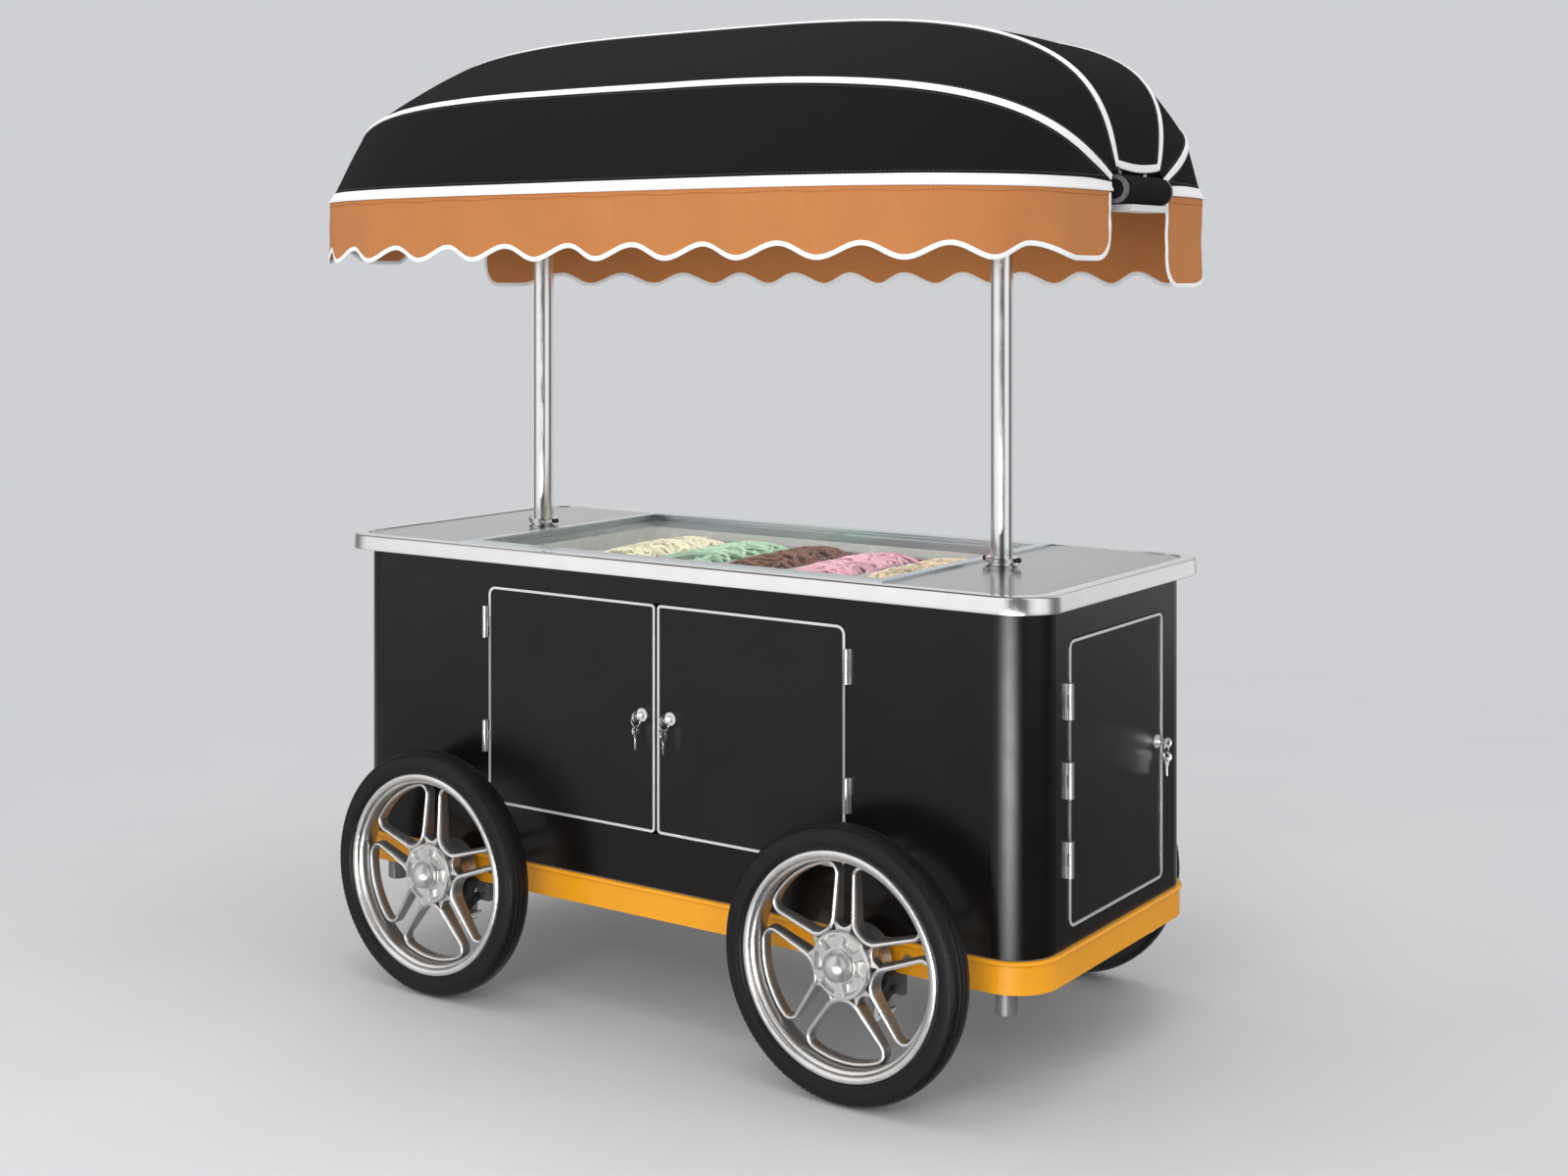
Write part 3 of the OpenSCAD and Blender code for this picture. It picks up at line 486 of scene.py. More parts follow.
def plain(thing: bpy.types.Object) -> bpy.types.Mesh:
    """Give an object's finished shape as a plain mesh, and remove the object."""
    mesh = bpy.data.meshes.new_from_object(thing.evaluated_get(bpy.context.evaluated_depsgraph_get()))
    bpy.data.objects.remove(thing)
    return mesh


def turns(count: int) -> list[float]:
    """Give even angles for a full turn."""
    return [2 * math.pi * k / count for k in range(count)]


def quarter_turn(axis: str, sign: int = 1) -> Matrix:
    """Give a quarter turn round an axis, by its name."""
    return Matrix.Rotation(math.radians(90 * sign), 4, axis)


def heading(path: Sequence[Vector], k: int) -> Vector:
    """Give the direction of an open path at one of its points."""
    return (path[min(k + 1, len(path) - 1)] - path[max(k - 1, 0)]).normalized()


class MeshMaker:
    """Gathers points and faces for one piece."""

    def __init__(self) -> None:
        """Start with nothing."""
        self.points: list[Vector] = []
        self.faces: list[tuple[int, ...]] = []
        self.slots: list[int] = []
        self.flats: list[Pair] = []

    def grid(self, rows: Rows, around: bool = False, ring: bool = False, slot: int = 0,
             flat: list[list[Pair]] | None = None) -> None:
        """Add a grid of faces.

        Args:
            rows: Rows of points, all of one length.
            around: Whether the last point of a row joins its first.
            ring: Whether the last row joins the first.
            slot: Material slot of the faces.
            flat: The cloth's flat place of each point, in metres.
        """
        base, rise, width = len(self.points), len(rows), len(rows[0])
        for row in rows:
            self.points.extend(row)
        for i in range(rise if ring else rise - 1):
            for j in range(width if around else width - 1):
                cells = [(i, j), (i, (j + 1) % width), ((i + 1) % rise, (j + 1) % width), ((i + 1) % rise, j)]
                self.faces.append(tuple(base + a * width + b for a, b in cells))
                self.slots.append(slot)
                if flat:
                    self.flats.extend(flat[a][b] for a, b in cells)

    def cap(self, ring: Sequence[Vector], slot: int = 0) -> None:
        """Close a ring of points with triangles round its middle.

        Args:
            ring: The points of the ring.
            slot: Material slot of the faces.
        """
        base = len(self.points)
        self.points.extend(ring)
        self.points.append(sum(ring, Vector()) / len(ring))
        for k in range(len(ring)):
            self.faces.append((base + k, base + (k + 1) % len(ring), base + len(ring)))
            self.slots.append(slot)

    def lathe(self, profile: Sequence[Pair], place: Matrix, segments: int, slot: int = 0,
              closed: bool = False) -> None:
        """Add a turned shape.

        Args:
            profile: Radius and height of each point.
            place: Where the axis, along Z, goes.
            segments: Steps round the axis.
            slot: Material slot of the faces.
            closed: Whether the profile's last point joins its first.
        """
        rows = []
        for turn in turns(segments):
            rows.append([place @ Vector((r * math.cos(turn), r * math.sin(turn), z)) for r, z in profile])
        self.grid(rows, around=closed, ring=True, slot=slot)

    def loft(self, rows: Rows, slot: int = 0) -> None:
        """Add a skin round rings of points, with both ends closed.

        Args:
            rows: The rings.
            slot: Material slot of the faces.
        """
        self.grid(rows, around=True, slot=slot)
        self.cap(rows[0], slot)
        self.cap(rows[-1], slot)

    def hoop(self, path: Sequence[Vector], radius: float) -> None:
        """Add a round bar along a closed path.

        Args:
            path: Points of its middle line.
            radius: Its radius.
        """
        up = Vector((0.3, 0.2, 0.93))
        rows = []
        for k, point in enumerate(path):
            along = (path[(k + 1) % len(path)] - path[k - 1]).normalized()
            side = along.cross(up).normalized()
            up = side.cross(along).normalized()
            rows.append([point + radius * (math.cos(a) * side + math.sin(a) * up) for a in turns(8)])
        self.grid(rows, around=True, ring=True)

    def absorb(self, mesh: bpy.types.Mesh, place: Matrix) -> None:
        """Add a copy of another mesh.

        Args:
            mesh: The mesh to copy.
            place: Where it goes.
        """
        base = len(self.points)
        self.points.extend(place @ vertex.co for vertex in mesh.vertices)
        for face in mesh.polygons:
            self.faces.append(tuple(base + k for k in face.vertices))
            self.slots.append(0)

    def build(self, name: str, finishes: Sequence[Finish], crease: float = 35.0,
              outward: bool = True) -> bpy.types.Object:
        """Make the object.

        Args:
            name: Name of the piece.
            finishes: Finish of each material slot.
            crease: Angle in degrees above which an edge stays sharp.
            outward: Whether to turn the faces outwards, for a closed shape.

        Returns:
            The finished object.
        """
        mesh = bpy.data.meshes.new(name)
        mesh.from_pydata(self.points, [], self.faces)
        mesh.polygons.foreach_set("material_index", self.slots)
        if len(self.flats) == len(mesh.loops):
            layer = mesh.uv_layers.new(name="UVMap")
            layer.uv.foreach_set("vector", [part for pair in self.flats for part in pair])
        shape = bmesh.new()
        shape.from_mesh(mesh)
        bmesh.ops.remove_doubles(shape, verts=shape.verts, dist=1e-6)
        bmesh.ops.dissolve_degenerate(shape, edges=shape.edges, dist=1e-7)
        if outward:
            bmesh.ops.recalc_face_normals(shape, faces=shape.faces)
        shape.to_mesh(mesh)
        shape.free()
        for finish in finishes:
            mesh.materials.append(finish.material())
        mesh.shade_smooth()
        mesh.set_sharp_from_angle(angle=math.radians(crease))
        piece = put(name, mesh)
        return piece


def mount(piece: bpy.types.Object, body: str, *nodes: str) -> bpy.types.Object:
    """Let a piece ride on a body, in place of some nodes.

    Args:
        piece: The finished piece.
        body: The body that carries it.
        nodes: CAD nodes that it stands for.

    Returns:
        The piece.
    """
    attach(piece, body)
    if nodes:
        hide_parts(*nodes)
    LOG.info("%s rides on %s, %d faces", piece.name, body, len(piece.data.polygons))
    return piece


def thicken(piece: bpy.types.Object, depth: float, offset: float = 0.0) -> None:
    """Give a sheet its thickness.

    Args:
        piece: The sheet.
        depth: Thickness in metres.
        offset: Side the thickness grows to, from -1 to 1.
    """
    wall = piece.modifiers.new("thickness", "SOLIDIFY")
    wall.thickness = depth
    wall.offset = offset


def fillet(corners: Sequence[Pair], radii: Sequence[float], steps: int) -> list[Pair]:
    """Round the corners of a polygon.

    Args:
        corners: Corner points.
        radii: Radius at each corner.
        steps: Steps round each corner.

    Returns:
        The rounded outline.
    """
    outline: list[Pair] = []
    for k, corner in enumerate(corners):
        here = Vector(corner)
        back = (Vector(corners[k - 1]) - here).normalized()
        ahead = (Vector(corners[(k + 1) % len(corners)]) - here).normalized()
        half = math.acos(max(-1.0, min(1.0, back.dot(ahead)))) / 2
        if radii[k] <= 0 or half > 1.56:
            outline.append(corner)
            continue
        centre = here + (back + ahead).normalized() * radii[k] / math.sin(half)
        start = here + back * radii[k] / math.tan(half) - centre
        end = here + ahead * radii[k] / math.tan(half) - centre
        first = math.atan2(start.y, start.x)
        sweep = (math.atan2(end.y, end.x) - first + math.pi) % (2 * math.pi) - math.pi
        for s in range(steps + 1):
            turn = first + sweep * s / steps
            outline.append((centre.x + radii[k] * math.cos(turn), centre.y + radii[k] * math.sin(turn)))
    return outline


def frame_path(length: float, depth: float, radius: float, steps: int) -> list[tuple[Vector, Vector]]:
    """Give points and outward directions round a rectangle with round corners.

    Args:
        length: Size along X.
        depth: Size along Y.
        radius: Corner radius.
        steps: Steps round each corner.

    Returns:
        Point and outward direction pairs, in the XY plane.
    """
    path = []
    for quarter in range(4):
        sx, sy = (1, -1, -1, 1)[quarter], (1, 1, -1, -1)[quarter]
        centre = Vector((sx * (length / 2 - radius), sy * (depth / 2 - radius), 0))
        for s in range(steps + 1):
            turn = math.radians(90 * quarter + 90 * s / steps)
            out = Vector((math.cos(turn), math.sin(turn), 0))
            path.append((centre + radius * out, out))
    return path


def plate(outline: Sequence[Pair], holes: Sequence[Sequence[Pair]], depth: float,
          bevel: float) -> bpy.types.Mesh:
    """Cut a flat plate with softened edges, its middle plane at z = 0.

    Args:
        outline: Its outer edge.
        holes: Edges of its holes.
        depth: Its thickness.
        bevel: Radius of its edges.

    Returns:
        The plate's mesh.
    """
    curve = bpy.data.curves.new("plate_outline", "CURVE")
    curve.dimensions = "2D"
    curve.fill_mode = "BOTH"
    curve.extrude = depth / 2 - bevel
    curve.bevel_depth = bevel
    curve.bevel_resolution = 2
    curve.offset = -bevel
    for loop in [outline, *holes]:
        spline = curve.splines.new("POLY")
        spline.points.add(len(loop) - 1)
        spline.points.foreach_set("co", [part for x, y in loop for part in (x, y, 0.0, 1.0)])
        spline.use_cyclic_u = True
    mesh = plain(put("plate_outline", curve))
    bpy.data.curves.remove(curve)
    return mesh


class NodeTree(Graph):
    """A Geometry Nodes tree built in the script, and the plain mesh it gives."""

    def __init__(self, name: str, inputs: dict[str, str]) -> None:
        """Start a tree.

        Args:
            name: Name of the tree.
            inputs: Socket type of each named input.
        """
        super().__init__(bpy.data.node_groups.new(name, "GeometryNodeTree"))
        self.tree.interface.new_socket("Geometry", in_out="INPUT", socket_type="NodeSocketGeometry")
        for key, kind in inputs.items():
            self.tree.interface.new_socket(key, in_out="INPUT", socket_type=kind)
        self.tree.interface.new_socket("Geometry", in_out="OUTPUT", socket_type="NodeSocketGeometry")
        self.source = self.tree.nodes.new("NodeGroupInput").outputs

    def close(self, instances: Socket, material: Socket) -> None:
        """Realize the instances, set their material and end the tree."""
        real = self.add("GeometryNodeRealizeInstances", {0: instances}).outputs[0]
        done = self.add("GeometryNodeSetMaterial", {"Geometry": real, "Material": material}).outputs[0]
        self.add("NodeGroupOutput", {0: done})

    def run(self, mesh: bpy.types.Mesh, values: dict[str, Any]) -> bpy.types.Mesh:
        """Run the tree once.

        Args:
            mesh: What goes in.
            values: Values of the named inputs.

        Returns:
            The plain mesh.
        """
        holder = put(mesh.name, mesh)
        modifier = holder.modifiers.new("nodes", "NODES")
        modifier.node_group = self.tree
        for item in self.tree.interface.items_tree:
            if item.in_out == "INPUT" and item.name in values:
                modifier[item.identifier] = values[item.name]
        return plain(holder)


class Stitching:
    """Runs of stitches along seams."""

    PITCH = 0.0075
    SHARE = 0.66
    RADIUS = 0.0006

    def __init__(self) -> None:
        """Build the tree that turns seam lines into stitches."""
        self.nodes = NodeTree("stitch_run", {"Pitch": "NodeSocketFloat", "Length": "NodeSocketFloat",
                                             "Radius": "NodeSocketFloat", "Thread": "NodeSocketMaterial"})
        given = self.nodes.source
        seam = self.nodes.add("GeometryNodeMeshToCurve", {0: given["Geometry"]}).outputs[0]
        spots = self.nodes.add("GeometryNodeCurveToPoints", {"Curve": seam, "Length": given["Pitch"]},
                               mode="LENGTH")
        stitch = self.nodes.add("GeometryNodeMeshCylinder", {"Vertices": 5, "Radius": given["Radius"],
                                                             "Depth": given["Length"]})
        laid = self.nodes.add("GeometryNodeInstanceOnPoints", {
            "Points": spots.outputs["Points"], "Instance": stitch.outputs["Mesh"],
            "Rotation": spots.outputs["Rotation"]})
        self.nodes.close(laid.outputs[0], given["Thread"])

    def lay(self, name: str, lines: Sequence[Sequence[Vector]], thread: Finish) -> bpy.types.Object:
        """Lay stitches along lines.

        Args:
            name: Name of the piece.
            lines: Points of each seam line.
            thread: Finish of the thread.

        Returns:
            The stitches as one plain object.
        """
        points: list[Vector] = []
        edges: list[tuple[int, int]] = []
        for line in lines:
            edges.extend((len(points) + k, len(points) + k + 1) for k in range(len(line) - 1))
            points.extend(line)
        path = bpy.data.meshes.new(name + "_path")
        path.from_pydata(points, edges, [])
        mesh = self.nodes.run(path, {
            "Pitch": self.PITCH, "Length": self.PITCH * self.SHARE, "Radius": self.RADIUS,
            "Thread": thread.material()})
        piece = put(name, mesh)
        return piece


class RoundRow:
    """A shape repeated round an axle."""

    def __init__(self) -> None:
        """Build the tree that sets copies round the Z axis."""
        self.nodes = NodeTree("round_row", {"Count": "NodeSocketInt", "Start": "NodeSocketFloat",
                                            "Finish": "NodeSocketMaterial"})
        given = self.nodes.source
        spots = self.nodes.add("GeometryNodePoints", {"Count": given["Count"]}).outputs[0]
        index = self.nodes.add("GeometryNodeInputIndex").outputs[0]
        turn = index
        sums = (("DIVIDE", given["Count"]), ("MULTIPLY", 2 * math.pi), ("ADD", given["Start"]))
        for operation, other in sums:
            turn = self.nodes.add("ShaderNodeMath", {0: turn, 1: other}, operation=operation).outputs[0]
        angles = self.nodes.add("ShaderNodeCombineXYZ", {2: turn}).outputs[0]
        laid = self.nodes.add("GeometryNodeInstanceOnPoints", {
            "Points": spots, "Instance": given["Geometry"], "Rotation": angles})
        self.nodes.close(laid.outputs[0], given["Finish"])

    def repeat(self, mesh: bpy.types.Mesh, count: int, start: float, finish: Finish) -> bpy.types.Mesh:
        """Repeat a mesh round Z.

        Args:
            mesh: The shape, in place for the angle 0.
            count: How many.
            start: Angle of the first, in radians.
            finish: Their finish.

        Returns:
            The plain mesh of all copies.
        """
        return self.nodes.run(mesh, {
            "Count": count, "Start": start, "Finish": finish.material()})


def dress(node: str, finish: Finish) -> bpy.types.Object:
    """Give a CAD node its finish, and return its object."""
    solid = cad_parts[node]
    solid.data.materials.clear()
    solid.data.materials.append(finish.material())
    LOG.info("%s keeps its solid in %s", node, finish.name)
    return solid


def soft_step(value: float, low: float, high: float) -> float:
    """Give a smooth step from 0 at low to 1 at high."""
    share = max(0.0, min(1.0, (value - low) / (high - low)))
    return share * share * (3 - 2 * share)


@dataclass
class Hood:
    """Sewn cloth hood over six bows, with taped seams and a roller at each end."""

    half_length: float = 0.874
    hub_y: float = 0.075
    hub_z: float = 1.639
    bows: tuple[Pair, ...] = ((0.606, 1.640), (0.473, 1.839), (0.190, 1.978))
    squareness: float = 3.5
    stations: int = 20
    rows: int = 190
    cells: int = 12
    corner: float = 0.012
    crown: float = 0.0036
    tape: float = 0.017
    gather: tuple[float, ...] = (1.1, 1.6, 2.0)
    cloth: float = 0.0014
    tape_cloth: float = 0.0009
    roller_half: float = 0.101
    roller_radius: float = 0.0272
    bar_reach: float = 0.845
    bar_top: float = 1.6125

    def bow_shares(self, station: float) -> Pair:
        """Give how far along and how far out a bow is.

        Args:
            station: 0 at the right roller, twice the stations at the left one.

        Returns:
            Share of the half length and share of the reach.
        """
        near = min(station, 2 * self.stations - station)
        turn = math.radians(90 * (near / self.stations) ** 1.75)
        along = abs(math.cos(turn)) ** (2 / self.squareness)
        return (along if station <= self.stations else -along), math.sin(turn) ** (2 / self.squareness)

    def bow_point(self, station: float, bow: int, side: int) -> Vector:
        """Give a point on a bow.

        Args:
            station: Place along the bow.
            bow: 0 lower, 1 middle, 2 top.
            side: -1 front, 1 back.

        Returns:
            The point.
        """
        along, out = self.bow_shares(station)
        reach, height = self.bows[bow]
        return Vector((self.half_length * along, side * (self.hub_y + out * (reach - self.hub_y)),
                       self.hub_z + out * (height - self.hub_z)))

    def section(self, share: float) -> tuple[list[Vector], list[float]]:
        """Give the cloth's line across the hood, front edge to back edge.

        Args:
            share: Place along the hood, 0 to 1.

        Returns:
            Points, and each point's place within its gore, 0 to 1 or -1 at a seam.
        """
        points: list[Vector] = []
        places: list[float] = []
        knots = []
        for k in range(6):
            bow = min(k, 5 - k)
            station = self.gather[bow] + (2 * self.stations - 2 * self.gather[bow]) * share
            knots.append(self.bow_point(station, bow, -1 if k < 3 else 1))
        for gore in range(5):
            first, last = knots[gore], knots[gore + 1]
            chord = last - first
            cut = min(0.2, self.corner / chord.length)
            normal = Vector((0, -chord.z, chord.y)).normalized()
            out = min(1.0, chord.length / 0.2)
            low, high = (0.0 if gore == 0 else cut), (1.0 if gore == 4 else 1 - cut)
            for j in range(self.cells + 1):
                w = low + (high - low) * j / self.cells
                points.append(first + chord * w + normal * self.crown * out * 4 * w * (1 - w))
                places.append(w)
            if gore < 4:
                ahead = knots[gore + 2] - last
                start, end = points[-1], last + ahead * min(0.2, self.corner / ahead.length)
                for q in (0.25, 0.5, 0.75):
                    points.append(start * (1 - q) ** 2 + last * 2 * q * (1 - q) + end * q * q)
                    places.append(-1.0)
        return points, places

    def seams(self) -> list[int]:
        """Give the column of each of the six seams."""
        step = self.cells + 4
        return [0] + [step * k - 2 for k in range(1, 5)] + [5 * step - 4]

    def lay(self) -> None:
        """Work out the cloth's points, normals and flat places."""
        self.points: Rows = []
        places: list[float] = []
        for i in range(self.rows + 1):
            half = 2 * i / self.rows
            share = 0.5 * half ** 1.25 if half <= 1 else 1 - 0.5 * (2 - half) ** 1.25
            row, places = self.section(share)
            self.points.append(row)
        left, right = self.seams()[2], self.seams()[3]
        for i in (*range(4), *range(self.rows - 3, self.rows + 1)):
            fall = (1.0, 0.6, 0.25, 0.06)[min(i, self.rows - i)]
            for j in range(left, right + 1):
                bend = math.sin(math.pi * (j - left) / (right - left))
                self.points[i][j] = self.points[i][j] - Vector((0, 0, 0.012 * fall * bend))
        self.normals = self.measure_normals()
        for i, row in enumerate(self.points):
            for j, point in enumerate(row):
                row[j] = point + self.normals[i][j] * self.ripple(point, places[j])
        self.normals = self.measure_normals()
        middle = self.points[self.rows // 2]
        across = [0.0]
        for j in range(1, len(middle)):
            across.append(across[-1] + (middle[j] - middle[j - 1]).length)
        self.flat = []
        travel = 0.0
        top = len(middle) // 2
        for i, row in enumerate(self.points):
            travel += (row[top] - self.points[i - 1][top]).length if i else 0.0
            self.flat.append([(travel, part) for part in across])

    def ripple(self, point: Vector, place: float) -> float:
        """Give how far the cloth waves out of its taut line.

        Args:
            point: A point of the taut cloth.
            place: Its place within the gore, or -1 at a seam.

        Returns:
            Distance along the normal.
        """
        calm = 0.0 if place < 0 else min(1.0, 5 * place * (1 - place))
        broad = noise.noise(Vector((point.x * 4.6, point.y * 2.2 + 3.1, point.z * 2.2)))
        drag = noise.noise(Vector((point.x * 15.0 + point.z * 6.0, point.y * 4.0 - 1.7, point.z * 4.0)))
        ends = soft_step(abs(point.x), 0.45, 0.85)
        return calm * (0.0026 * broad + (0.0008 + 0.0014 * ends) * drag)

    def measure_normals(self) -> Rows:
        """Give the outward normal at each point of the cloth."""
        normals: Rows = []
        last, width = len(self.points) - 1, len(self.points[0]) - 1
        middle = Vector((0, 0, 1.70))
        for i, row in enumerate(self.points):
            line = []
            for j, point in enumerate(row):
                along = self.points[min(i + 1, last)][j] - self.points[max(i - 1, 0)][j]
                across = row[min(j + 1, width)] - row[max(j - 1, 0)]
                normal = along.cross(across).normalized()
                line.append(normal if normal.dot(point - middle) > 0 else -normal)
            normals.append(line)
        return normals

    def walk(self, i: int, start: int, distance: float) -> tuple[Vector, Vector]:
        """Go along a row of the cloth from a column.

        Args:
            i: The row.
            start: The column to start from.
            distance: How far, positive towards the back.

        Returns:
            Point and normal there.
        """
        step = 1 if distance >= 0 else -1
        left, j = abs(distance), start
        row, normals = self.points[i], self.normals[i]
        while 0 <= j + step < len(row):
            length = (row[j + step] - row[j]).length
            if length >= left:
                share = left / max(length, 1e-9)
                normal = normals[j].lerp(normals[j + step], share).normalized()
                return row[j].lerp(row[j + step], share), normal
            left -= length
            j += step
        return row[j], normals[j]

    def cover(self) -> bpy.types.Object:
        """Make the cloth."""
        maker = MeshMaker()
        maker.grid(self.points, flat=self.flat)
        piece = maker.build("hood_cover", [HOOD_CLOTH], 60.0, outward=False)
        normal = piece.data.polygons[len(piece.data.polygons) // 2].normal
        if normal.z < 0:
            piece.data.flip_normals()
        self.area = sum(face.area for face in piece.data.polygons)
        thicken(piece, self.cloth, -1.0)
        return mount(piece, "canopy", "canopy_cover")

    def tape_rows(self, seam: int) -> Rows:
        """Give the rows of one seam's tape.

        Args:
            seam: 0 front edge to 5 back edge.

        Returns:
            Rows of points.
        """
        column = self.seams()[seam]
        rows: Rows = []
        for i in range(self.rows + 1):
            row = []
            near = min(i, self.rows - i)
            width = self.tape * (0.7 + 0.3 * soft_step(near, 0, 25))
            if seam in (0, 5):
                sign = 1 if seam == 0 else -1
                edge, normal = self.points[i][column], self.normals[i][column]
                out = Vector((normal.x, normal.y, 0)).normalized()
                row.append(edge + out * 0.0044 - Vector((0, 0, 0.0050)))
                row.append(edge + out * 0.0046 - Vector((0, 0, 0.0015)))
                for d in (0.15, 0.4, 0.7, 0.95, 1.0):
                    point, normal = self.walk(i, column, sign * d * width)
                    row.append(point + normal * (0.0024 if d < 0.2 else 0.0017 if d < 0.97 else 0.0006))
            else:
                for d in (-0.5, -0.46, -0.25, 0.0, 0.25, 0.46, 0.5):
                    point, normal = self.walk(i, column, d * width)
                    lift = 0.0006 if abs(d) > 0.48 else 0.0017 if abs(d) > 0.3 else 0.0022
                    row.append(point + normal * lift)
            rows.append(row)
        return rows

    def end_rows(self, end: int) -> Rows:
        """Give the rows of the tape at one end of the top gore.

        Args:
            end: 0 for the right end, 1 for the left end.

        Returns:
            Rows of points.
        """
        left, right = self.seams()[2], self.seams()[3]
        order = list(range(self.rows + 1)) if end == 0 else list(range(self.rows, -1, -1))
        rows: Rows = []
        for j in range(left, right + 1):
            row = []
            for distance in (-0.002, 0.0, 0.004, 0.009, 0.012, 0.0125):
                travel, k = max(0.0, distance), 0
                while True:
                    here, after = self.points[order[k]][j], self.points[order[k + 1]][j]
                    length = (after - here).length
                    if length >= travel or k > 20:
                        break
                    travel -= length
                    k += 1
                point = here.lerp(after, min(1.0, travel / length))
                normal = self.normals[order[k]][j]
                lift = 0.0008 if distance > 0.0122 else 0.0020
                row.append(point + normal * lift + Vector((0, 0, min(0.0, distance))))
            rows.append(row)
        return rows

    def tapes(self) -> bpy.types.Object:
        """Make the white tapes on the seams and edges."""
        maker = MeshMaker()
        for seam in range(6):
            self.add_strip(maker, self.tape_rows(seam))
        for end in (0, 1):
            self.add_strip(maker, self.end_rows(end))
        piece = maker.build("hood_tapes", [WHITE_TAPE], 50.0, outward=False)
        thicken(piece, self.tape_cloth)
        return mount(piece, "canopy")

    @staticmethod
    def add_strip(maker: MeshMaker, rows: Rows) -> None:
        """Add a strip with its flat places.

        Args:
            maker: Where it goes.
            rows: The strip's rows.
        """
        flat, travel = [], 0.0
        for i, row in enumerate(rows):
            travel += (row[2] - rows[i - 1][2]).length if i else 0.0
            side, line = 0.0, []
            for j, point in enumerate(row):
                side += (point - row[j - 1]).length if j else 0.0
                line.append((travel, side))
            flat.append(line)
        maker.grid(rows, flat=flat)

    def stitch_lines(self) -> list[list[Vector]]:
        """Give the lines of stitches beside the tapes."""
        lines = []
        gap = self.tape / 2 + 0.005
        for seam, column in enumerate(self.seams()):
            offsets = {0: (self.tape + 0.006,), 5: (-self.tape - 0.006,)}.get(seam, (-gap, gap))
            for offset in offsets:
                line = []
                for i in range(8, self.rows - 7):
                    point, normal = self.walk(i, column, offset)
                    line.append(point + normal * 0.0003)
                lines.append(line)
        return lines

    def rollers(self) -> bpy.types.Object:
        """Make the cloth wraps of the two end rollers."""
        maker = MeshMaker()
        for side in (1, -1):
            rows: Rows = []
            for k in range(45):
                share = k / 44
                y = self.roller_half * (2 * share - 1)
                shrink = 1 - 0.35 * (1 - soft_step(min(share, 1 - share), 0.0, 0.07)) ** 2
                ring = []
                for turn in turns(40):
                    fold = noise.noise(Vector((y * 30, math.cos(turn) * 2.2 + side, math.sin(turn) * 2.2)))
                    fold += 0.5 * noise.noise(Vector((y * 12 + math.sin(turn) * 3, 4.0, math.cos(turn) * 5)))
                    radius = (self.roller_radius + 0.0011 * fold) * shrink
                    ring.append(Vector((side * self.half_length + radius * math.cos(turn), y,
                                        self.hub_z + radius * math.sin(turn))))
                rows.append(ring)
            flat = [[(k * 0.0046, s * 0.0044) for s in range(40)] for k in range(45)]
            maker.grid(rows, around=True, flat=flat)
            for ring in (rows[0], rows[-1]):
                maker.cap(ring)
                maker.flats.extend((0.01 * k, 0.005 * c) for k in range(40) for c in range(3))
        return mount(maker.build("roller_wraps", [HOOD_CLOTH], 50.0), "canopy")

    def make(self, stitching: Stitching) -> None:
        """Build the hood.

        Args:
            stitching: The tree that lays stitches.
        """
        self.lay()
        cover = self.cover()
        tapes = self.tapes()
        stitches = mount(stitching.lay("hood_stitches", self.stitch_lines(), STITCH_PALE), "canopy")
        self.rollers()
        for node, finish in {"canopy_bows": SATIN_CHROME, "canopy_ridge": GREY_STEEL}.items():
            dress(node, finish)
        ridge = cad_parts["canopy_ridge"]
        ridge.data.materials.append(TRIM_ALLOY.material())
        for face in ridge.data.polygons:
            if abs(face.center.x) > self.bar_reach and face.center.z < self.bar_top:
                face.material_index = 1


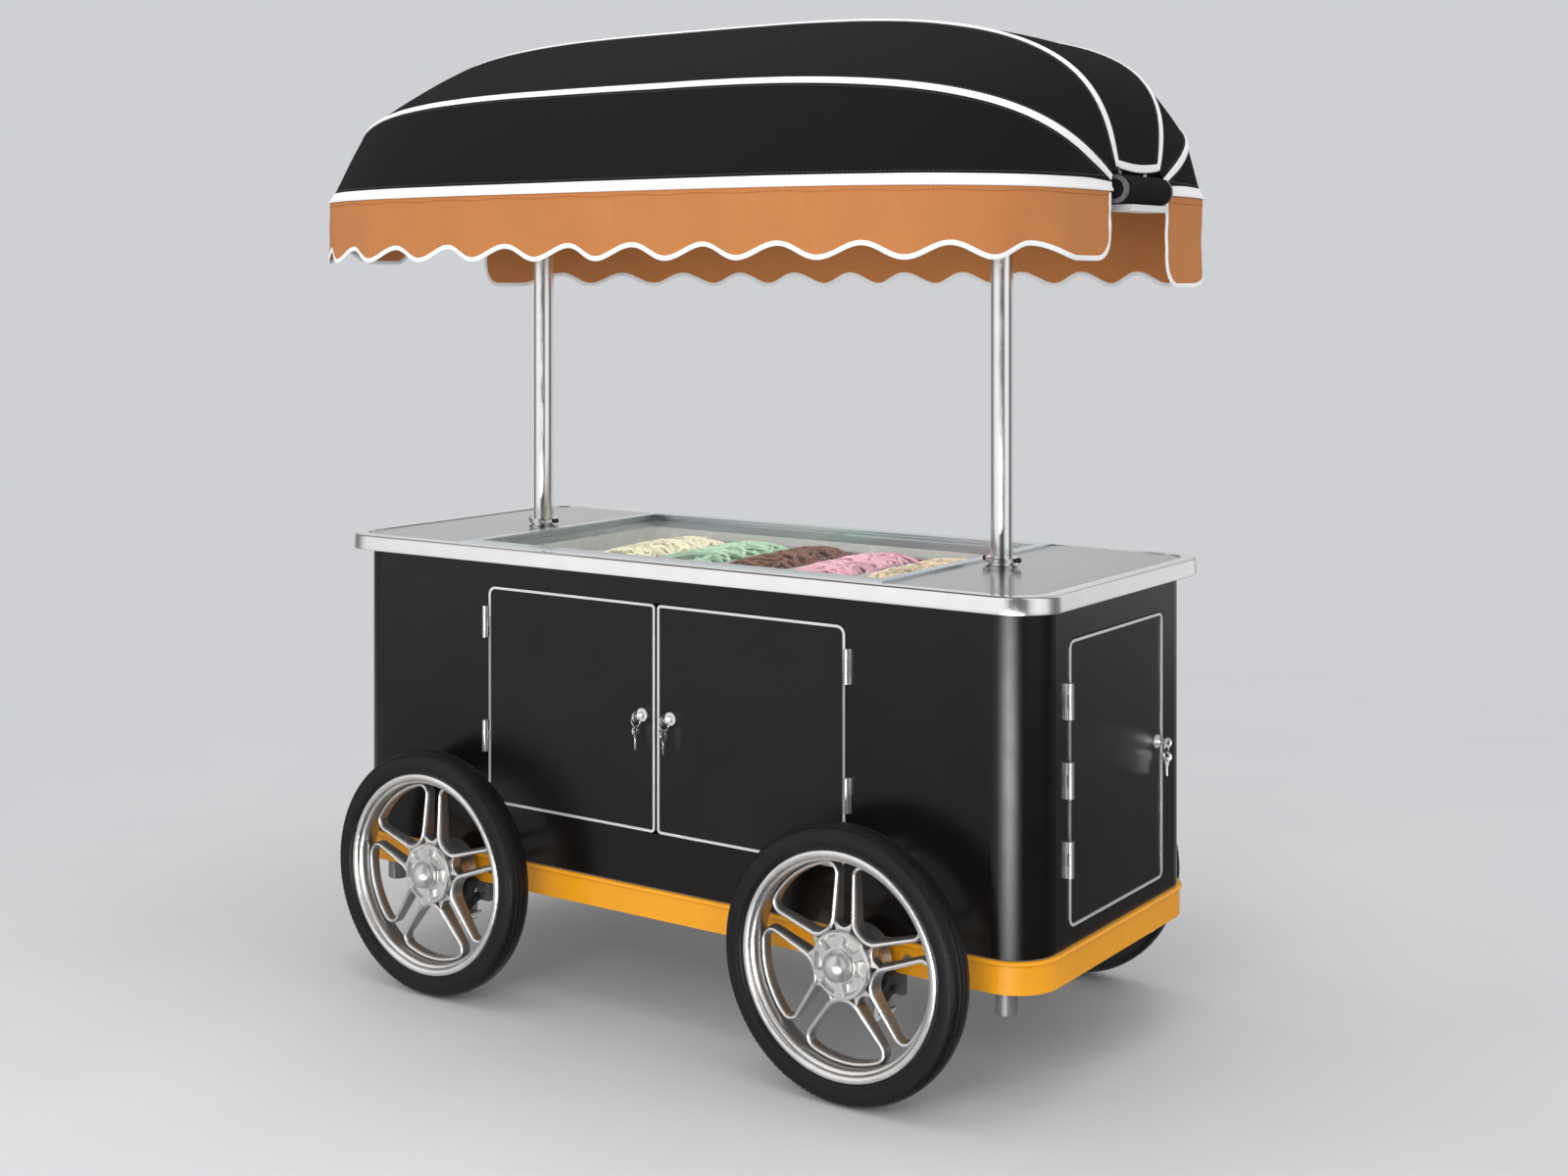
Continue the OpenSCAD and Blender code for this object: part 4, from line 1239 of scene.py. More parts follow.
@dataclass
class Valance:
    """Hanging cloth along the front or back bow, with a bound, scalloped edge."""

    hood: Hood
    side: int
    name: str
    depth: float
    wave: float = 0.025
    pitch: float = 0.155
    scallops: int = 12
    end_wave: float = 0.120
    start: float = 0.045
    corner: float = 0.052
    columns: int = 560
    rows: int = 14
    cloth: float = 0.0012
    hem: float = 0.012

    def measure(self) -> None:
        """Work out the length along the lower bow."""
        self.path: list[tuple[float, Vector]] = []
        travel = 0.0
        for k in range(2401):
            half = k / 1200
            share = 0.5 * half ** 1.4 if half <= 1 else 1 - 0.5 * (2 - half) ** 1.4
            point = self.hood.bow_point(2 * self.hood.stations * share, 0, -1)
            point.z = self.hood.hub_z
            travel += (point - self.path[-1][1]).length if k else 0.0
            self.path.append((travel, point))
        self.length = travel

    def at(self, travel: float) -> Vector:
        """Give the point of the bow at a length along it."""
        low, high = 0, len(self.path) - 1
        while high - low > 1:
            middle = (low + high) // 2
            if self.path[middle][0] <= travel:
                low = middle
            else:
                high = middle
        first, last = self.path[low], self.path[high]
        share = (travel - first[0]) / max(1e-9, last[0] - first[0])
        return first[1].lerp(last[1], max(0.0, min(1.0, share)))

    def hang(self, travel: float, fall: float, out: float = 0.0) -> Vector:
        """Give a point of the cloth.

        Args:
            travel: Length along the bow.
            fall: 0 at the bow to 1 at the edge.
            out: Distance out of the cloth.

        Returns:
            The point.
        """
        along = (self.at(min(travel + 0.004, self.length)) - self.at(max(travel - 0.004, 0.0))).normalized()
        outward = Vector((-along.y, along.x, 0))
        u = travel - self.length / 2
        regular = self.pitch * self.scallops / 2
        if abs(u) <= regular:
            edge = math.cos(2 * math.pi * u / self.pitch)
        else:
            edge = math.cos(min(math.pi, math.pi * (abs(u) - regular) / self.end_wave))
        gap = max(0.0, self.corner - min(travel, self.length - travel) + self.start)
        curve = self.corner - math.sqrt(max(0.0, self.corner ** 2 - gap * gap))
        drop = self.depth - self.wave / 2 * edge - curve
        beat = math.pi * u / self.pitch
        fold = 0.004 * math.cos(2 * beat) + 0.003 * math.sin(beat + 0.7)
        fold += 0.0050 * noise.noise(Vector((u * 5.5, fall * 1.2, 2.0 * self.side)))
        fold += 0.0030 * math.sin(math.pi * fall) * noise.noise(Vector((u * 9.0 + fall * 3, fall * 2.5, 7.0)))
        point = self.at(travel) + outward * (0.0022 + out - fall * fold) - Vector((0, 0, fall * drop))
        if self.side > 0:
            point.y = -point.y
        return point

    def binding(self) -> bpy.types.Object:
        """Make the white tape folded over the edge."""
        far = self.length - self.start
        trail = [(self.start, 0.1 + 0.9 * k / 24) for k in range(24)]
        trail += [(self.start + (far - self.start) * k / 700, 1.0) for k in range(701)]
        trail += [(far, 1.0 - 0.9 * (k + 1) / 24) for k in range(24)]
        middle = [self.hang(travel, fall) for travel, fall in trail]
        rows: Rows = []
        for k, (travel, fall) in enumerate(trail):
            along = heading(middle, k)
            out = (self.hang(travel, fall, 0.001) - middle[k]).normalized()
            down = along.cross(out).normalized()
            heart = self.hang(min(max(travel, self.start + 0.05), far - 0.05), 0.5)
            down = down if down.dot(middle[k] - heart) > 0 else -down
            ring = [(-0.0078, 0.0011), (-0.0070, 0.0017), (-0.0020, 0.0019), (0.0010, 0.0013), (0.0016, 0.0),
                    (0.0010, -0.0013), (-0.0020, -0.0019), (-0.0070, -0.0017), (-0.0078, -0.0011)]
            rows.append([middle[k] + down * a + out * b for a, b in ring])
        maker = MeshMaker()
        flat = [[(0.004 * i, 0.002 * j) for j in range(9)] for i in range(len(rows))]
        maker.grid(rows, around=True, flat=flat)
        for ring in (rows[0], rows[-1]):
            maker.cap(ring)
            maker.flats.extend((0.001 * k, 0.001 * c) for k in range(9) for c in range(3))
        return mount(maker.build(self.name + "_binding", [WHITE_TAPE], 60.0), "canopy")

    def make(self, stitching: Stitching) -> None:
        """Build the valance.

        Args:
            stitching: The tree that lays stitches.
        """
        self.measure()
        run = self.length - 2 * self.start
        rows, flat = [], []
        for i in range(self.columns + 1):
            travel = self.start + run * i / self.columns
            rows.append([self.hang(travel, j / self.rows) for j in range(self.rows + 1)])
            flat.append([(travel, self.depth * j / self.rows) for j in range(self.rows + 1)])
        maker = MeshMaker()
        maker.grid(rows, flat=flat)
        piece = maker.build(self.name + "_cloth", [VALANCE_CLOTH], 60.0, outward=False)
        thicken(piece, self.cloth)
        mount(piece, "canopy", self.name)
        binding = self.binding()
        line = [self.hang(self.start + self.hem + (run - 2 * self.hem) * k / 500, 0.105, 0.0009)
                for k in range(501)]
        stitches = mount(stitching.lay(self.name + "_stitches", [line], STITCH_TAN), "canopy")


@dataclass
class Wheels:
    """Four alloy wheels with rubber tyres and domed caps."""

    track_x: float = 0.507
    track_y: float = 0.440
    radius: float = 0.250
    window_turn: float = 54.0
    loops: int = 5
    rib: float = 0.0046

    def place(self, sx: int, sy: int) -> Matrix:
        """Give the place of a wheel, its axis along Z and its open face up."""
        spot = Matrix.Translation((sx * self.track_x, sy * self.track_y, self.radius))
        return spot @ quarter_turn("X", -sy)

    def loop_path(self) -> list[Vector]:
        """Give the middle line of one window loop, round the X axis."""
        swing = [math.radians(a) for a in range(-21, 22, 3)]
        arc = [(0.1795 * math.cos(a), 0.1795 * math.sin(a)) for a in swing]
        corners = [(0.0640, -0.0195), (0.1547, -0.0911), *arc, (0.1547, 0.0911), (0.0640, 0.0195)]
        radii = [0.034, 0.019, *([0.0] * len(arc)), 0.019, 0.034]
        return [Vector((x, y, 0)) for x, y in fillet(corners, radii, 11)]

    def loop(self) -> bpy.types.Mesh:
        """Make one window loop: a deep rib with a round front edge."""
        path = self.loop_path()
        r = self.rib
        section = [(1.15 * r, -0.022), (1.0 * r, -0.009), (0.86 * r, -0.0052), (0.5 * r, -0.0028),
                   (0.0, -0.002), (-0.5 * r, -0.0028), (-0.86 * r, -0.0052), (-1.0 * r, -0.009),
                   (-1.15 * r, -0.022)]
        rows: Rows = []
        for k, point in enumerate(path):
            along = (path[(k + 1) % len(path)] - path[k - 1]).normalized()
            side = Vector((along.y, -along.x, 0))
            near = 1 - soft_step(point.length, 0.066, 0.125)
            row = []
            for a, b in section:
                lift = near * 0.009 * (b + 0.022) / 0.020
                row.append(point + side * a * (1 + 0.25 * near) + Vector((0, 0, b + lift)))
            rows.append(row)
        maker = MeshMaker()
        maker.grid(rows, around=True, ring=True)
        mesh = bpy.data.meshes.new("window_loop")
        mesh.from_pydata(maker.points, [], maker.faces)
        return mesh

    def web(self) -> bpy.types.Mesh:
        """Make one web that ties two neighbouring loops to the hub or to the rim."""
        corners = [(0.052, -0.014), (0.078, -0.0225), (0.0625, 0.0), (0.078, 0.0225), (0.052, 0.014)]
        mesh = plate(fillet(corners, [0.0, 0.0012, 0.013, 0.0012, 0.0], 6), [], 0.022, 0.002)
        mesh.transform(Matrix.Translation((0, 0, -0.0075)))
        return mesh

    def hub_rows(self) -> Rows:
        """Give the hub's front, with a ring of pockets round the cap."""
        rows: Rows = []
        radii = [0.016, 0.030, 0.0315, 0.0325, 0.034, 0.0355, 0.040, 0.045, 0.0495, 0.051, 0.0525, 0.054,
                 0.0565, 0.0585, 0.0600, 0.0608, 0.061]
        for radius in radii:
            edge = soft_step(radius, 0.0320, 0.0355) * (1 - soft_step(radius, 0.0500, 0.0540))
            rim = -0.0035 * soft_step(radius, 0.0575, 0.061) ** 2
            row = []
            for turn in turns(200):
                rib = abs(((turn / (2 * math.pi) * 6 + 0.5) % 1.0) - 0.5) * 2
                pocket = edge * (1 - soft_step(rib, 0.52, 0.72))
                height = 0.016 - 0.0095 * pocket + rim
                row.append(Vector((radius * math.cos(turn), radius * math.sin(turn), height)))
            rows.append(row)
        skirt = [Vector((0.061 * math.cos(turn), 0.061 * math.sin(turn), -0.035)) for turn in turns(200)]
        return [*rows, skirt]

    def casting(self, name: str, place: Matrix, rows: RoundRow) -> bpy.types.Object:
        """Make one wheel casting.

        Args:
            name: Corner of the cart.
            place: Where the wheel goes.
            rows: The tree that repeats shapes round the axle.

        Returns:
            The casting.
        """
        maker = MeshMaker()
        rim = [(0.206, 0.0215), (0.2056, 0.0245), (0.2040, 0.0262), (0.2015, 0.0270), (0.1975, 0.0270),
               (0.1945, 0.0262), (0.1925, 0.0245), (0.1912, 0.0218), (0.1904, 0.0190), (0.1888, 0.0178),
               (0.1868, 0.0174), (0.1852, 0.0160), (0.1844, 0.0135), (0.184, 0.010), (0.184, -0.020),
               (0.1855, -0.0228), (0.188, -0.024), (0.206, -0.024), (0.206, -0.020), (0.193, -0.020),
               (0.193, 0.020), (0.206, 0.020)]
        maker.lathe(rim, place, 216, closed=True)
        turn = math.radians(self.window_turn)
        maker.absorb(rows.repeat(self.loop(), self.loops, turn, WHEEL_ALLOY), place)
        maker.absorb(rows.repeat(self.web(), self.loops, math.radians(90), WHEEL_ALLOY), place)
        hub = [[place @ point for point in row] for row in self.hub_rows()]
        maker.grid(hub, around=True)
        back = [(0.061, -0.035), (0.055, -0.035), (0.055, -0.073), (0.053, -0.075), (0.016, -0.075),
                (0.016, 0.016)]
        maker.lathe(back, place, 200, slot=1)
        return maker.build("alloy_" + name, [WHEEL_ALLOY, HUB_CAST], 32.0)

    def tyre_profile(self) -> list[Pair]:
        """Give the tyre's section, with its sidewall lines and crown grooves."""
        half = [(0.2500, 0.0012), (0.2499, 0.0055), (0.2478, 0.0063), (0.2478, 0.0085), (0.2497, 0.0093),
                (0.2490, 0.0120), (0.2484, 0.0142), (0.2462, 0.0150), (0.2458, 0.0166), (0.2473, 0.0176),
                (0.2452, 0.0210), (0.2424, 0.0243), (0.2400, 0.0261), (0.2394, 0.0262), (0.2388, 0.0270),
                (0.2380, 0.0271), (0.2340, 0.0285), (0.2280, 0.0296), (0.2220, 0.0300), (0.2160, 0.0293),
                (0.2148, 0.0290), (0.2142, 0.0296), (0.2132, 0.0296), (0.2126, 0.0286), (0.2100, 0.0275),
                (0.2075, 0.0256), (0.2062, 0.0240), (0.2059, 0.0200)]
        inner = [(0.193, 0.020), (0.193, -0.020)]
        return half + inner + [(r, -z) for r, z in reversed(half)]

    def tread_block(self) -> bpy.types.Mesh:
        """Make a pair of shoulder blocks."""
        maker = MeshMaker()
        for side in (1, -1):
            outer = [Vector((0.2474, 0.0, 0.0180)), Vector((0.2461, 0.0, 0.0211)),
                     Vector((0.2430, 0.0, 0.0249)), Vector((0.2402, 0.0, 0.0266)),
                     Vector((0.2385, 0.0, 0.0262)), Vector((0.2440, 0.0, 0.0175))]
            rows = []
            for y in (-0.0034, -0.0027, 0.0027, 0.0034):
                inset = 0.0007 if abs(y) > 0.0030 else 0.0
                rows.append([Vector((p.x - inset, y + 0.5 * (p.z - 0.022), side * (p.z - inset * 0.5)))
                             for p in outer])
            maker.loft(rows)
        mesh = bpy.data.meshes.new("tread_block")
        mesh.from_pydata(maker.points, [], maker.faces)
        return mesh

    def tyre(self, name: str, place: Matrix, rows: RoundRow) -> bpy.types.Object:
        """Make one tyre.

        Args:
            name: Corner of the cart.
            place: Where the wheel goes.
            rows: The tree that repeats shapes round the axle.

        Returns:
            The tyre.
        """
        maker = MeshMaker()
        maker.lathe(self.tyre_profile(), place, 180, closed=True)
        maker.absorb(rows.repeat(self.tread_block(), 140, 0.0, TYRE_RUBBER), place)
        return maker.build("rubber_" + name, [TYRE_RUBBER], 40.0)

    def caps(self) -> bpy.types.Object:
        """Make the four domed caps."""
        maker = MeshMaker()
        dome = [(0.0, 0.0166), (0.0295, 0.0166), (0.030, 0.0172), (0.030, 0.0198), (0.0290, 0.0212),
                (0.0276, 0.0220), (0.0272, 0.0236), (0.0270, 0.0285), (0.0258, 0.0320), (0.0225, 0.0368),
                (0.0185, 0.0402), (0.0140, 0.0428), (0.0090, 0.0446), (0.0045, 0.0454), (0.0, 0.0456)]
        for sx in (-1, 1):
            for sy in (-1, 1):
                maker.lathe(dome, self.place(sx, sy), 72)
        return maker.build("axle_domes", [CAP_STEEL], 30.0)

    def make(self, rows: RoundRow) -> None:
        """Build the wheels.

        Args:
            rows: The tree that repeats shapes round the axle.
        """
        for sx, end in ((-1, "left"), (1, "right")):
            for sy, face in ((-1, "front"), (1, "back")):
                corner = f"{face}_{end}"
                place = self.place(sx, sy)
                mount(self.casting(corner, place, rows), "wheel_" + corner, "wheel_" + corner)
                mount(self.tyre(corner, place, rows), "wheel_" + corner, "tyre_" + corner)
        mount(self.caps(), "cart", "axle_caps")
        for node, finish in {"axles": PLAIN_STEEL, "axle_bushes": BRONZE, "axle_blocks": GREY_STEEL}.items():
            dress(node, finish)


@dataclass
class Counter:
    """Counter rim, sheets, posts and collars."""

    length: float = 1.724
    depth: float = 0.738
    top: float = 0.920
    rim_height: float = 0.032
    rim_width: float = 0.0299
    corner: float = 0.090
    draft: float = 0.0016
    post_x: float = 0.587
    post_radius: float = 0.022

    def rim(self) -> bpy.types.Object:
        """Make the bull-nosed rim."""
        low = self.top - self.rim_height
        corners = [(self.rim_width, low), (0.0, low), (self.draft, self.top), (self.rim_width, self.top)]
        section = fillet(corners, [0.0, 0.0012, 0.006, 0.0006], 7)
        rows = []
        for point, out in frame_path(self.length, self.depth, self.corner, 18):
            rows.append([point - out * inset + Vector((0, 0, z)) for inset, z in section])
        maker = MeshMaker()
        maker.grid(rows, around=True, ring=True)
        return maker.build("bright_rim", [RIM_STEEL], 40.0)

    def posts(self) -> None:
        """Make the two posts and their collars."""
        collars = MeshMaker()
        flange = [(0.0222, 0.800), (0.026, 0.800), (0.026, 0.917), (0.0318, 0.918), (0.032, 0.9186),
                  (0.032, 0.9206), (0.0312, 0.9214), (0.0275, 0.9218), (0.0270, 0.9226), (0.0270, 0.9242),
                  (0.0276, 0.9252), (0.0308, 0.9256), (0.0318, 0.9268), (0.0318, 0.9346), (0.0308, 0.9358),
                  (0.0288, 0.9362), (0.0222, 0.9362)]
        for sx, end in ((-1, "left"), (1, "right")):
            place = Matrix.Translation((sx * self.post_x, 0, 0))
            tube = MeshMaker()
            r = self.post_radius
            wall = [(r, 0.8005), (r, 1.622), (r - 0.001, 1.623), (r - 0.002, 1.622), (r - 0.002, 0.8005)]
            tube.lathe(wall, place, 96, closed=True)
            mount(tube.build("post_tube_" + end, [CHROME], 40.0), "canopy", "post_" + end)
            collars.lathe(flange, place, 96, closed=True)
            for s in (-1, 1):
                screw = Matrix.Translation((sx * self.post_x, 0, self.top + 0.011)) \
                    @ quarter_turn("Y", s)
                shank = [(0.0, 0.028), (0.0026, 0.028), (0.0026, 0.0325), (0.0042, 0.0330), (0.0050, 0.0340),
                         (0.0050, 0.0398), (0.0042, 0.0408), (0.0, 0.0410)]
                collars.lathe(shank, screw, 20, slot=1)
        mount(collars.build("collar_set", [CHROME, BLACK_STEEL], 35.0), "cart", "post_collars")

    def make(self) -> None:
        """Build the counter."""
        mount(self.rim(), "cart", "counter_rim")
        dress("counter_sheet", SHEET_STEEL)
        self.posts()


@dataclass
class Display:
    """Glass frame, panes, pans and ice cream."""

    pitch: float = 0.165
    pan_width: float = 0.158
    pan_length: float = 0.360
    rim_z: float = 0.888
    base_z: float = 0.7456
    first_x: float = 0.3975
    ceiling: float = 0.9065
    pan_y: float = 0.020
    pan_wall: float = 0.0009
    strands: int = 70
    step: float = 0.0058

    def pans(self) -> bpy.types.Object:
        """Make the five pans."""
        maker = MeshMaker()
        inset = [(0.0, -0.0022), (0.0, -0.0006), (0.0006, 0.0), (0.0030, 0.0), (0.0042, -0.0008),
                 (0.0047, -0.0024), (0.0054, -0.06), (0.0062, -0.108), (0.0085, -0.1165), (0.0130, -0.1210),
                 (0.0180, -0.1222)]
        for k in range(5):
            middle = Vector((self.first_x - k * self.pitch, self.pan_y, self.rim_z))
            rows = []
            for point, out in frame_path(self.pan_width + 0.0055, self.pan_length + 0.008, 0.022, 8):
                rows.append([middle + point - out * a + Vector((0, 0, z)) for a, z in inset])
            maker.grid(rows, ring=True)
            maker.cap([row[-1] for row in rows])
        piece = maker.build("pan_set", [PAN_STEEL], 40.0)
        thicken(piece, self.pan_wall)
        return mount(piece, "cart", "gelato_pans")

    def mound(self, x: float, y: float) -> float:
        """Give the height of the heap over the pan's rim.

        Args:
            x: Place across the pan, -1 to 1.
            y: Place along the pan, -1 to 1.

        Returns:
            Height in metres.
        """
        side = max(0.0, 1 - (abs(x) / 0.90) ** 2.6)
        end = max(0.0, 1 - abs(y) ** 6)
        return -0.016 + 0.0265 * side ** 0.6 * (0.5 + 0.5 * end)

    def strand(self, chance: random.Random) -> list[Pair]:
        """Give the winding line of one strand, in shares of the pan's half width and half length.

        Args:
            chance: Where its numbers come from.

        Returns:
            Points of the line.
        """
        x, y = chance.uniform(-0.60, 0.60), chance.uniform(-0.90, 0.90)
        heading = chance.choice((0.0, math.pi)) + chance.uniform(-0.9, 0.9)
        wind, phase, beat = chance.uniform(0.15, 0.42), chance.uniform(0, 6.28), chance.uniform(0.3, 0.7)
        line = []
        for k in range(chance.randint(18, 30)):
            line.append((x, y))
            heading += wind * math.sin(phase + beat * k)
            x += self.step / (self.pan_width / 2) * math.cos(heading)
            y += self.step / (self.pan_length / 2) * math.sin(heading)
            if abs(x) > 0.84:
                heading, x = math.pi - heading, math.copysign(0.84, x)
            if abs(y) > 0.93:
                heading, y = -heading, math.copysign(0.93, y)
        return line

    def heap(self, place: int, name: str, finish: IceCream) -> bpy.types.Object:
        """Make one heap of ice cream with scooped ropes across it.

        Args:
            place: Number of the pan from the right.
            name: Flavour.
            finish: Its finish.

        Returns:
            The heap.
        """
        chance = random.Random(100 + place)
        middle = Vector((self.first_x - place * self.pitch, self.pan_y, self.rim_z))
        half_x, half_y = self.pan_width / 2 - 0.0048, self.pan_length / 2 - 0.004
        maker = MeshMaker()
        rows = []
        for i in range(41):
            y = -1 + 2 * i / 40
            row = []
            for j in range(25):
                x = -1 + 2 * j / 24
                z = self.mound(x, y) - 0.006 + 0.003 * noise.noise(Vector((x * 3, y * 8, place)))
                row.append(middle + Vector((x * half_x, y * half_y, z)))
            rows.append(row)
        # The mound under the strands, its sides and its foot take slot 1, painted shade between and beside
        # the strands.
        maker.grid(rows, slot=1)
        edge = [rows[0][j] for j in range(25)] + [rows[i][24] for i in range(1, 41)]
        edge += [rows[40][j] for j in range(23, -1, -1)] + [rows[i][0] for i in range(39, 0, -1)]
        low = [Vector((p.x, p.y, self.base_z + 0.002)) for p in edge]
        maker.grid([edge, low], around=True, slot=1)
        maker.cap(low, slot=1)
        for k in range(self.strands):
            thick = chance.uniform(0.0038, 0.0050)
            lift = -0.004 + 0.0075 * k / self.strands
            path = []
            for x, y in self.strand(chance):
                path.append(middle + Vector((x * half_x, y * half_y, self.mound(x, y) + lift)))
            # Every third strand takes slot 2, a copy of the cream with painted shade, so that the strands
            # stand apart.
            self.rope(maker, path, thick, k + 80 * place, 2 if k % 3 == 0 else 0)
        # Slots: the cream itself, painted shade between the strands, painted shade on some strands.
        return maker.build(name + "_heap", [finish, finish.shade(0.42), finish.shade(0.70)], 70.0)

    def rope(self, maker: MeshMaker, path: list[Vector], thick: float, seed: int, slot: int) -> None:
        """Add one scooped rope.

        Args:
            maker: Where it goes.
            path: Points of its middle line.
            thick: Its radius.
            seed: Makes its lumps its own.
            slot: Material slot of its faces.
        """
        rows = []
        count = len(path)
        for k, point in enumerate(path):
            along = heading(path, k)
            side = along.cross(Vector((0, 0, 1))).normalized()
            up = side.cross(along)
            taper = math.sin(math.pi * (0.10 + 0.80 * k / (count - 1))) ** 0.35
            ring = []
            for turn in turns(8):
                x, y = math.cos(turn), math.sin(turn)
                lump = 1 + 0.16 * noise.noise(Vector((k * 0.7 + seed, x * 1.3, y * 1.3)))
                spot = point + thick * taper * lump * (x * side + 0.85 * y * up)
                spot.z = min(spot.z, self.ceiling)
                ring.append(spot)
            rows.append(ring)
        maker.loft(rows, slot)

    def make(self) -> None:
        """Build the display."""
        dress("display_frame", FRAME_ALLOY)
        dress("cold_well", WELL_LINER)
        dress("cold_plates", COLD_PLATE)
        dress("well_insulation", FOAM)
        for pane in ("glass_left", "glass_right"):
            dress(pane, CLEAR_GLASS).visible_shadow = False
        self.pans()
        flavours = (PEACH, STRAWBERRY, CHOCOLATE, MINT, VANILLA)
        for place, finish in enumerate(flavours):
            mount(self.heap(place, finish.name, finish), "cart", "ice_cream_" + finish.name)


@dataclass
class Cabinet:
    """Cabinet body, doors, hinges, locks and keys."""

    face_y: float = -0.336
    face_x: float = 0.832
    key_out: float = 0.022
    front_lock: Pair = (0.035, 0.613)
    end_lock: Pair = (0.173, 0.577)
    front_hinge: Pair = (0.449, -0.3425)
    end_hinge: Pair = (0.8385, -0.204)
    front_heights: tuple[float, ...] = (0.760, 0.522)
    end_heights: tuple[float, ...] = (0.717, 0.575, 0.433)
    leaf_reach: float = 0.016
    leaf_half: float = 0.034

    def key_mesh(self) -> bpy.types.Mesh:
        """Make a flat key, its bow at the origin and its blade along -Y."""
        swing = [math.radians(a) for a in range(-62, 243, 8)]
        bow = [(0.0108 * math.cos(a), 0.0108 * math.sin(a)) for a in swing]
        blade = [(-0.0042, -0.0125), (-0.0042, -0.0150), (-0.0031, -0.0160), (-0.0031, -0.0350),
                 (-0.0015, -0.0380), (0.0010, -0.0380), (0.0026, -0.0355), (0.0012, -0.0335),
                 (0.0030, -0.0310), (0.0014, -0.0285), (0.0030, -0.0260), (0.0018, -0.0235),
                 (0.0031, -0.0210), (0.0031, -0.0160), (0.0042, -0.0150), (0.0042, -0.0125)]
        hole = [(0.0036 * math.cos(a), 0.003 + 0.0036 * math.sin(a)) for a in turns(18)]
        return plate([*bow, *blade], [hole], 0.0024, 0.0005)

    def lock(self, name: str, place: Matrix, cam: float) -> None:
        """Make a lock plug with its key, and the spare key on its ring.

        Args:
            name: Which door.
            place: Lock axis along Z, out of the face, with the door's up along Y.
            cam: Length of the cam.
        """
        flat_turn = quarter_turn("Y")
        plug = MeshMaker()
        barrel = [(0.0, -0.040), (0.006, -0.040), (0.006, 0.0033), (0.0054, 0.0040), (0.0016, 0.0041),
                  (0.0, 0.0036)]
        plug.lathe(barrel, place, 32)
        plug.absorb(plate([(-0.004, 0.0), (0.004, 0.0), (0.004, cam), (-0.004, cam)], [], 0.003, 0.0005),
                    place @ Matrix.Translation((0, 0, -0.0385)))
        inward = Matrix.Translation((0, 0, self.key_out)) @ flat_turn @ quarter_turn("Z")
        key = self.key_mesh()
        short = key.copy()
        for vertex in short.vertices:
            vertex.co.y = max(vertex.co.y, -0.0195)
        plug.absorb(short, place @ inward)
        mount(plug.build("key_plug_" + name, [SATIN_CHROME], 30.0), "lock_" + name, "lock_" + name)
        spare = MeshMaker()
        ring = [place @ Vector((0.0105 * math.sin(a), -0.0095 + 0.0105 * math.cos(a), self.key_out))
                for a in turns(40)]
        spare.hoop(ring, 0.001)
        hang = Matrix.Translation((0, -0.028, self.key_out)) @ flat_turn
        spare.absorb(key, place @ hang)
        hung = spare.build("spare_key_set_" + name, [SATIN_CHROME], 30.0)
        mount(hung, "spare_key_" + name, "spare_key_" + name)

    def hinge_leaves(self, door: str, axis: Pair, heights: Sequence[float]) -> None:
        """Give a door's hinge leaves their darker steel.

        Args:
            door: Which door.
            axis: Place of its hinge line.
            heights: Middle of each hinge.
        """
        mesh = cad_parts[f"door_{door}_fittings"].data
        mesh.materials.append(HINGE_STEEL.material())
        near = {vertex.index for vertex in mesh.vertices if math.dist(vertex.co[:2], axis) < self.leaf_reach
                and min(abs(vertex.co.z - z) for z in heights) < self.leaf_half}
        for part in mesh.polygons:
            if near.issuperset(part.vertices):
                part.material_index = 1

    def make(self) -> None:
        """Build the cabinet."""
        dress("cabinet_shell", BODY_BLACK)
        dress("cabinet_floor", FLOOR_BOARD)
        for door in ("left", "right", "end"):
            dress(f"door_{door}_panel", DOOR_BLACK)
            dress(f"door_{door}_fittings", TRIM_ALLOY)
        dress("hinge_bases", HINGE_STEEL)
        self.hinge_leaves("end", self.end_hinge, self.end_heights)
        upright = quarter_turn("X")
        for name, sx in (("left", -1), ("right", 1)):
            self.hinge_leaves(name, (sx * self.front_hinge[0], self.front_hinge[1]), self.front_heights)
            spot = Matrix.Translation((sx * self.front_lock[0], self.face_y, self.front_lock[1]))
            self.lock(name, spot @ upright, 0.026)
        end = Matrix.Translation((self.face_x, *self.end_lock)) @ quarter_turn("Z") @ upright
        self.lock("end", end, 0.038)


@dataclass
class Chassis:
    """Frame, skirt, brakes and feet."""

    pedal_top: float = 0.160

    def make(self) -> None:
        """Build the chassis."""
        for node, finish in {"chassis_frame": GREY_STEEL, "chassis_skirt": SKIRT_PAINT,
                             "chassis_bolts": PLAIN_STEEL}.items():
            dress(node, finish)
        for end in ("left", "right"):
            for face in ("front", "back"):
                dress(f"foot_{face}_{end}", FOOT_STEEL)
                lever = dress(f"brake_{face}_{end}", BLACK_STEEL)
                lever.data.materials.append(SATIN_CHROME.material())
                for part in lever.data.polygons:
                    if part.center.z < self.pedal_top:
                        part.material_index = 1


